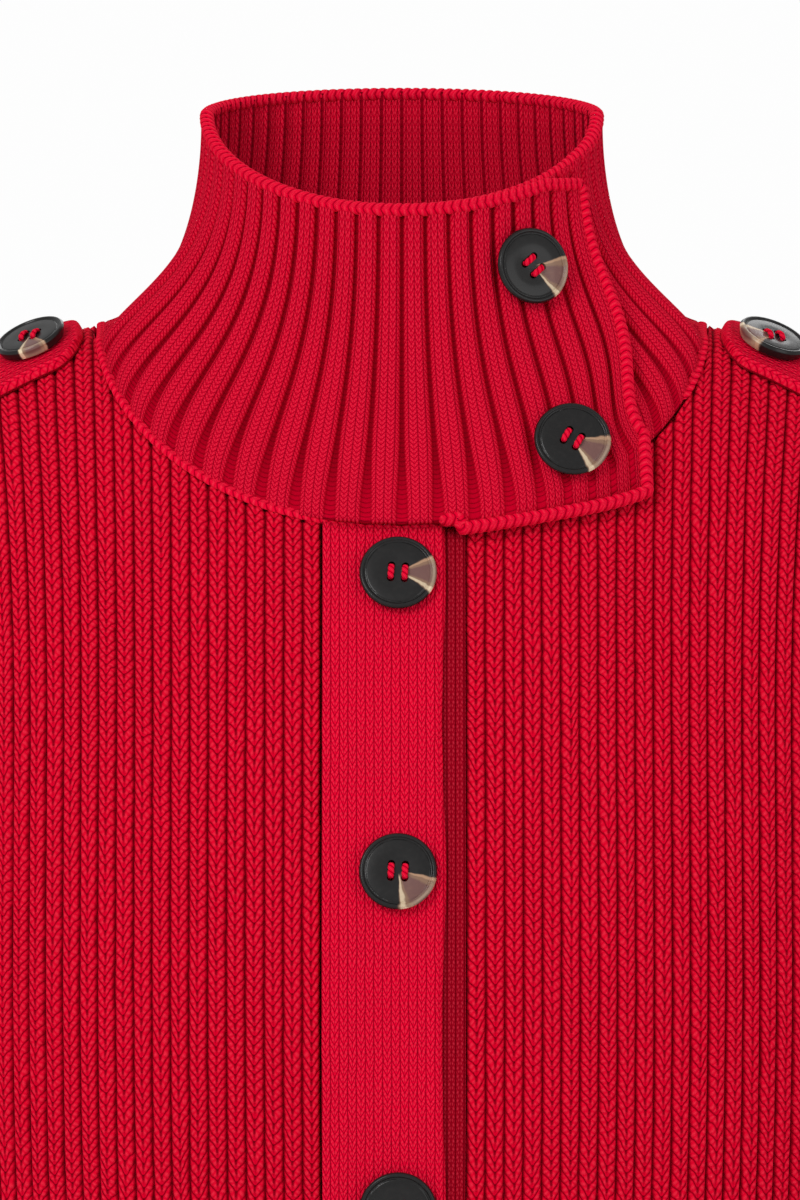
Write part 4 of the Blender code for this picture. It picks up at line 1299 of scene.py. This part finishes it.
def stitch_of(u, v, lean):
    """The ridge, the legs and their twist, for a knit whose ribs and stitches are units of u and v."""
    side = abs(u.fract() - 0.5) * 2
    middle = (side - 0.45) / 0.55
    raised = (1 - middle * middle).root()
    across = v - side * lean
    return side, raised, across.round_top(), (across.fract() * 1.6 + side * 2.6).wave()


def rib_knit(name):
    finish = yarn(name)
    u, v = uneven(finish, *finish.place("knit"), 160.0, 0.16, 0.55)
    side, raised, leg, ply = stitch_of(u, v, STITCH_LEAN)
    groove = side.ramp(0.66, 0.96)
    dot = side.ramp(0.74, 0.98) * (v + 0.15).wave().ramp(0.25, 0.8)
    heart = side.ramp(0.20, 0.0) * (v + 0.35).wave().ramp(0.35, 0.85)
    colour, fuzz = wool(finish, raised, leg, ply, tuple(colours().body), 2600.0)
    # painted shade: darker in the grooves, in dots along them at each row and in the heart between each
    # stitch's legs
    dark = (groove * 0.36 + dot * 0.42 + heart * 0.65).math("MINIMUM", 0.92)
    colour = finish.mix(dark, colour, tuple(colours().deep))
    height = (
        raised * 0.45 + leg * raised * 0.85 + ply * leg * 0.20 + fuzz * 0.16
        - groove * 0.35 - dot * 0.3 - heart * 0.45
    )
    return finish.wear(colour, finish.bump(height))


def band_knit(name):
    finish = yarn(name)
    u, v = uneven(finish, *finish.place("knit"), 150.0, 0.30, 0.80)
    side, raised, leg, ply = stitch_of(u, v, 1.0)
    # painted shade and painted highlight through wool, on a ridge raised to at least 0.4
    colour, fuzz = wool(finish, raised * 0.6 + 0.4, leg, ply, tuple(colours().band), 3200.0)
    # painted shade between the wales and between each stitch's legs
    gap_shade = side.ramp(0.80, 1.0) * 0.30 + side.ramp(0.20, 0.0) * (v + 0.35).wave() * 0.34
    colour = finish.mix(gap_shade, colour, tuple(colours().deep))
    height = raised * 0.32 + leg * raised * 0.42 + ply * leg * 0.06 + fuzz * 0.10
    return finish.wear(colour, finish.bump(height))


def under_band_knit(name):
    """The band below, seen on edge: its columns show as fine upright ribs, in shade that is painted into its
    colour.
    """
    finish = yarn(name)
    u, v = finish.place("knit")
    _, raised, leg, ply = stitch_of(u, v, 1.0)
    # painted shade: the body's colour at 0.40 for the whole band
    shaded = tuple(0.40 * channel for channel in colours().body)
    colour, fuzz = wool(finish, raised, leg * 0.5 + 0.4, ply, shaded, 3200.0)
    height = raised * 0.55 + leg * raised * 0.2 + fuzz * 0.10
    return finish.wear(colour, finish.bump(height))


def collar_knit(name):
    """Broad flat ribs, each of three fine columns of stitches, and ladders of bars between them."""
    finish = yarn(name)
    u, v = finish.place("knit")
    low, high = COLLAR_RAISED
    near_seam = v.ramp(COLLAR_OPEN_ROWS, 0)
    off = (u.fract() - 0.5) / (high - near_seam * (high - low))
    on_top = abs(off).ramp(1.10, 0.94)
    side, raised, leg, ply = stitch_of(off * 1.5, v, 0.9)
    rung = v.round_top()
    top_raised = raised * 0.40 + 0.60
    # painted shade: grooves darker than the ribs' tops, less so near the seam, and darker between legs and
    # bars, through wool
    ridge = on_top * top_raised + (1 - on_top) * (near_seam * 0.45 + 0.10)
    lump = on_top * leg + (1 - on_top) * rung
    ground = tuple(0.84 * channel for channel in colours().band)
    colour, fuzz = wool(finish, ridge, lump, ply, ground, 3000.0)
    # painted shade in the splits between a rib's three columns
    split = side.ramp(0.80, 1.0) * on_top * 0.32
    colour = finish.mix(split, colour, tuple(colours().deep))
    height = (
        on_top * (raised * 0.34 + leg * raised * 0.36 + 0.55) + (1 - on_top) * rung * 0.45 + fuzz * 0.12
    )
    return finish.wear(colour, finish.bump(height))


def cord_knit(name):
    """The rolled edge, the neckline's chain and the buttons' thread, lump by lump."""
    finish = yarn(name)
    u, v = finish.place("knit")
    lump = v.round_top()
    ply = (v * 2.0 + u * 1.5).wave()
    # painted shade between the lumps and painted highlight along the twist, through wool
    colour, fuzz = wool(finish, lump * 0.6 + 0.4, lump, ply, tuple(colours().band), 3200.0)
    height = lump * 0.35 + ply * lump * 0.14 + fuzz * 0.12
    return finish.wear(colour, finish.bump(height))


def horn(name):
    """Charcoal resin with a satin face and a pale streak from its middle out over the rim."""
    finish = Finish(name, {"Coat Weight": 0.22, "Coat Roughness": 0.12, "Specular IOR Level": 0.20})
    along, across = finish.place("streak")
    drift = finish.noise(95.0, 3.0, 0.6)
    grain = finish.noise(520.0, 4.0, 0.65)
    angle = finish.node("ShaderNodeMath", {"operation": "ARCTAN2"}, {0: across, 1: along})
    angle = angle + (drift - 0.5) * 0.26
    out = (along * along + across * across).root()
    edge = radians(20)
    inside = abs(angle).ramp(edge + 0.03, edge - 0.02) * out.ramp(0.05, 0.16)
    rim = out.ramp(0.80, 0.97)
    cream = (angle + edge * 0.84).math("ABSOLUTE").ramp(0.062, 0.024) * (rim * 0.35 + 0.65)
    cream = (cream + rim * out.ramp(1.0, 0.93) * 0.35).math("MINIMUM", 1.0)
    border = abs(angle).ramp(edge * 0.42, edge * 0.62) * 0.72
    tan_line = (angle - edge * 0.88).math("ABSOLUTE").ramp(0.05, 0.02)
    dark = finish.mix(grain.ramp(0.45, 0.75) * 0.4, tuple(colours().horn_dark), (0.016, 0.014, 0.013))
    middle = finish.mix(
        (grain * 0.3 + drift * 0.5).ramp(0.36, 0.80) * 0.4, tuple(colours().horn_brown),
        tuple(colours().horn_tan),
    )
    streak = finish.mix(border, middle, tuple(0.62 * tone for tone in colours().horn_tan))
    streak = finish.mix(tan_line * 0.85, streak, tuple(colours().horn_tan))
    streak = finish.mix(cream * 0.9, streak, tuple(colours().horn_cream))
    colour = finish.mix(inside, dark, streak)
    return finish.wear(colour, finish.bump(grain * 0.02), 0.30 + grain * 0.14)


def finish_of(make):
    """A finish, made once."""
    name = make.__name__ + "_finish"
    return bpy.data.materials.get(name) or make(name)


# ---------------------------------------------------------------- operators


class CARDIGAN_OT_body(bpy.types.Operator):
    """Knit the two fronts and the back"""

    bl_idname = "cardigan.body"
    bl_label = "Knit the body"

    def execute(self, context):
        ends = {
            "front_right": (-pi / 2, float(turn_at_x(BAND_SEAM_X - SEAM_GAP / 2))),
            "front_left": (float(turn_at_x(UNDER_SEAM_X + SEAM_GAP / 2)), pi / 2),
            "back": (pi / 2, 3 * pi / 2),
        }
        for node, (start, end) in ends.items():
            back = node == "back"
            grid = (BACK_RIB_COLUMNS, BACK_STITCH_ROWS) if back else (RIB_COLUMNS, STITCH_ROWS)
            piece = dress(panel(node, start, end, *grid, finish_of(rib_knit)), node)
        return {"FINISHED"}


class CARDIGAN_OT_bands(bpy.types.Operator):
    """Knit the button band and the band under it"""

    bl_idname = "cardigan.bands"
    bl_label = "Knit the bands"

    def execute(self, context):
        over = band(
            "button_band", lambda z: np.full_like(z, BAND_SEAM_X + SEAM_GAP / 2), band_edge, BAND_PROUD,
            (0.0, BAND_FOLD), finish_of(band_knit),
        )
        under = band(
            "under_band", lambda z: np.full_like(z, UNDER_BAND_X),
            lambda z: np.full_like(z, UNDER_SEAM_X - SEAM_GAP / 2), BAND_PROUD - BAND_THICKNESS - SEAM_GAP,
            (0.0, 0.0), finish_of(under_band_knit),
        )
        for piece, node, width in ((over, "button_band", 0.045), (under, "under_band", 0.041)):
            dress(piece, node)
        return {"FINISHED"}


class CARDIGAN_OT_collar(bpy.types.Operator):
    """Knit the funnel collar, its rolled edge and the chain along the neckline"""

    bl_idname = "cardigan.collar"
    bl_label = "Knit the collar"

    def execute(self, context):
        form = CollarForm()
        piece = dress(collar_wall(form, finish_of(collar_knit)), "collar")
        trims = collar_edges(form, finish_of(cord_knit))
        for trim in trims:
            dress(trim)
        return {"FINISHED"}


class CARDIGAN_OT_sleeves(bpy.types.Operator):
    """Knit the two sleeves"""

    bl_idname = "cardigan.sleeves"
    bl_label = "Knit the sleeves"

    def execute(self, context):
        form = SleeveForm()
        for node, mirrored in (("sleeve_left", False), ("sleeve_right", True)):
            piece = dress(sleeve(node, form, mirrored, finish_of(rib_knit)), node)
        return {"FINISHED"}


class CARDIGAN_OT_straps(bpy.types.Operator):
    """Knit the two shoulder straps"""

    bl_idname = "cardigan.straps"
    bl_label = "Knit the shoulder straps"

    def execute(self, context):
        for node, mirrored, below in (
            ("epaulette_left", False, "front_left"), ("epaulette_right", True, "front_right")
        ):
            piece = dress(epaulette(node, mirrored, finish_of(band_knit)), node)
        return {"FINISHED"}


class CARDIGAN_OT_buttons(bpy.types.Operator):
    """Turn the nine buttons and sew them on"""

    bl_idname = "cardigan.buttons"
    bl_label = "Turn the buttons"

    def execute(self, context):
        patterns = {}
        for node in BUTTON_TURNS:
            diameter = 0.0265 if "epaulette" in node else BUTTON_DIAMETER
            if diameter not in patterns:
                patterns[diameter] = turned_button(diameter)
            button, seat = seat_button(node, patterns[diameter], finish_of(horn))
            dress(button, node)
            for bar in button_thread(node, seat, finish_of(cord_knit)):
                dress(bar)
        for pattern in patterns.values():
            bpy.data.objects.remove(pattern)
        return {"FINISHED"}


class CARDIGAN_OT_stage(bpy.types.Operator):
    """Set the floor, the lights and the camera"""

    bl_idname = "cardigan.stage"
    bl_label = "Set the stage"

    def execute(self, context):
        stage = context.scene.cardigan_stage
        floor()
        surroundings(stage)
        front = -0.09
        soft_light("key_light", (-1.6, -2.6, 1.5), 1.5, stage.key_power)
        soft_light("fill_light", (2.2, -2.4, 0.3), 1.8, stage.fill_power)
        soft_light("rear_light", (0.4, 2.4, 1.6), 1.4, stage.fill_power)
        camera = bpy.data.objects.new("camera", bpy.data.cameras.new("camera"))
        context.scene.collection.objects.link(camera)
        camera.location = (-0.0007, front - stage.distance, stage.centre_height)
        camera.rotation_euler = (pi / 2, 0.0, 0.0)
        camera.data.sensor_fit, camera.data.sensor_width = "HORIZONTAL", 36.0
        camera.data.lens = 36.0 * stage.distance / stage.frame_width
        camera.data.clip_start, camera.data.clip_end = 0.1, 100.0
        context.scene.camera = camera
        context.scene.view_settings.view_transform = "Standard"
        context.scene.view_settings.look = "None"
        return {"FINISHED"}


def floor():
    deselect()
    bpy.ops.mesh.primitive_circle_add(vertices=96, radius=3.0, fill_type="NGON", location=(0, 0, -0.70))
    ground = bpy.context.object
    ground.name = "floor"
    bpy.ops.object.transform_apply(location=True, rotation=False, scale=False)
    paint = Finish("floor_paint", {"Roughness": 0.9})
    speck = paint.noise(3.0, 2.0)
    ground.data.materials.append(
        paint.wear(paint.mix(speck, (0.80, 0.80, 0.80), (0.84, 0.84, 0.84)))
    )


def surroundings(stage):
    """White to the eye, and a little dimmer as light."""
    world = bpy.data.worlds.new("studio")
    bpy.context.scene.world = world
    world.use_nodes = True
    tree = world.node_tree
    seen = tree.nodes.new("ShaderNodeBackground")
    seen.inputs["Color"].default_value = (0.985, 0.985, 0.985, 1.0)
    lit = tree.nodes["Background"]
    lit.inputs["Color"].default_value = (1.0, 1.0, 1.0, 1.0)
    lit.inputs["Strength"].default_value = stage.sky
    ray, mix = tree.nodes.new("ShaderNodeLightPath"), tree.nodes.new("ShaderNodeMixShader")
    tree.links.new(ray.outputs["Is Camera Ray"], mix.inputs[0])
    tree.links.new(lit.outputs[0], mix.inputs[1])
    tree.links.new(seen.outputs[0], mix.inputs[2])
    tree.links.new(mix.outputs[0], tree.nodes["World Output"].inputs["Surface"])


def soft_light(name, place, width, power):
    lamp = bpy.data.lights.new(name, "AREA")
    lamp.shape, lamp.size, lamp.energy = "DISK", width, power
    thing = bpy.data.objects.new(name, lamp)
    thing.location = place
    aim = Vector((0.0, 0.0, -0.15)) - Vector(place)
    thing.rotation_euler = aim.to_track_quat("-Z", "Y").to_euler()
    bpy.context.scene.collection.objects.link(thing)


class CARDIGAN_PT_panel(bpy.types.Panel):
    """The cardigan's sizes, colours and steps"""

    bl_idname = "CARDIGAN_PT_panel"
    bl_label = "Rib-knit cardigan"
    bl_space_type = "VIEW_3D"
    bl_region_type = "UI"
    bl_category = "Cardigan"

    def draw(self, context):
        for settings in (
            context.scene.cardigan_knit, context.scene.cardigan_colours, context.scene.cardigan_stage
        ):
            box = self.layout.box()
            for name in settings.__annotations__:
                box.prop(settings, name)
        for step in STEPS:
            self.layout.operator(step.bl_idname)


STEPS = (
    CARDIGAN_OT_stage, CARDIGAN_OT_body, CARDIGAN_OT_bands, CARDIGAN_OT_collar, CARDIGAN_OT_sleeves,
    CARDIGAN_OT_straps, CARDIGAN_OT_buttons,
)
CLASSES = (KnitSizes, YarnColours, StageSizes, *STEPS, CARDIGAN_PT_panel)


def register():
    for one in CLASSES:
        bpy.utils.register_class(one)
    bpy.types.Scene.cardigan_knit = PointerProperty(type=KnitSizes)
    bpy.types.Scene.cardigan_colours = PointerProperty(type=YarnColours)
    bpy.types.Scene.cardigan_stage = PointerProperty(type=StageSizes)


def unregister():
    del bpy.types.Scene.cardigan_stage
    del bpy.types.Scene.cardigan_colours
    del bpy.types.Scene.cardigan_knit
    for one in reversed(CLASSES):
        bpy.utils.unregister_class(one)


def main():
    register()
    bpy.ops.cardigan.stage()
    bpy.ops.cardigan.body()
    bpy.ops.cardigan.bands()
    bpy.ops.cardigan.collar()
    bpy.ops.cardigan.sleeves()
    bpy.ops.cardigan.straps()
    bpy.ops.cardigan.buttons()


if __name__ == "__main__":
    main()
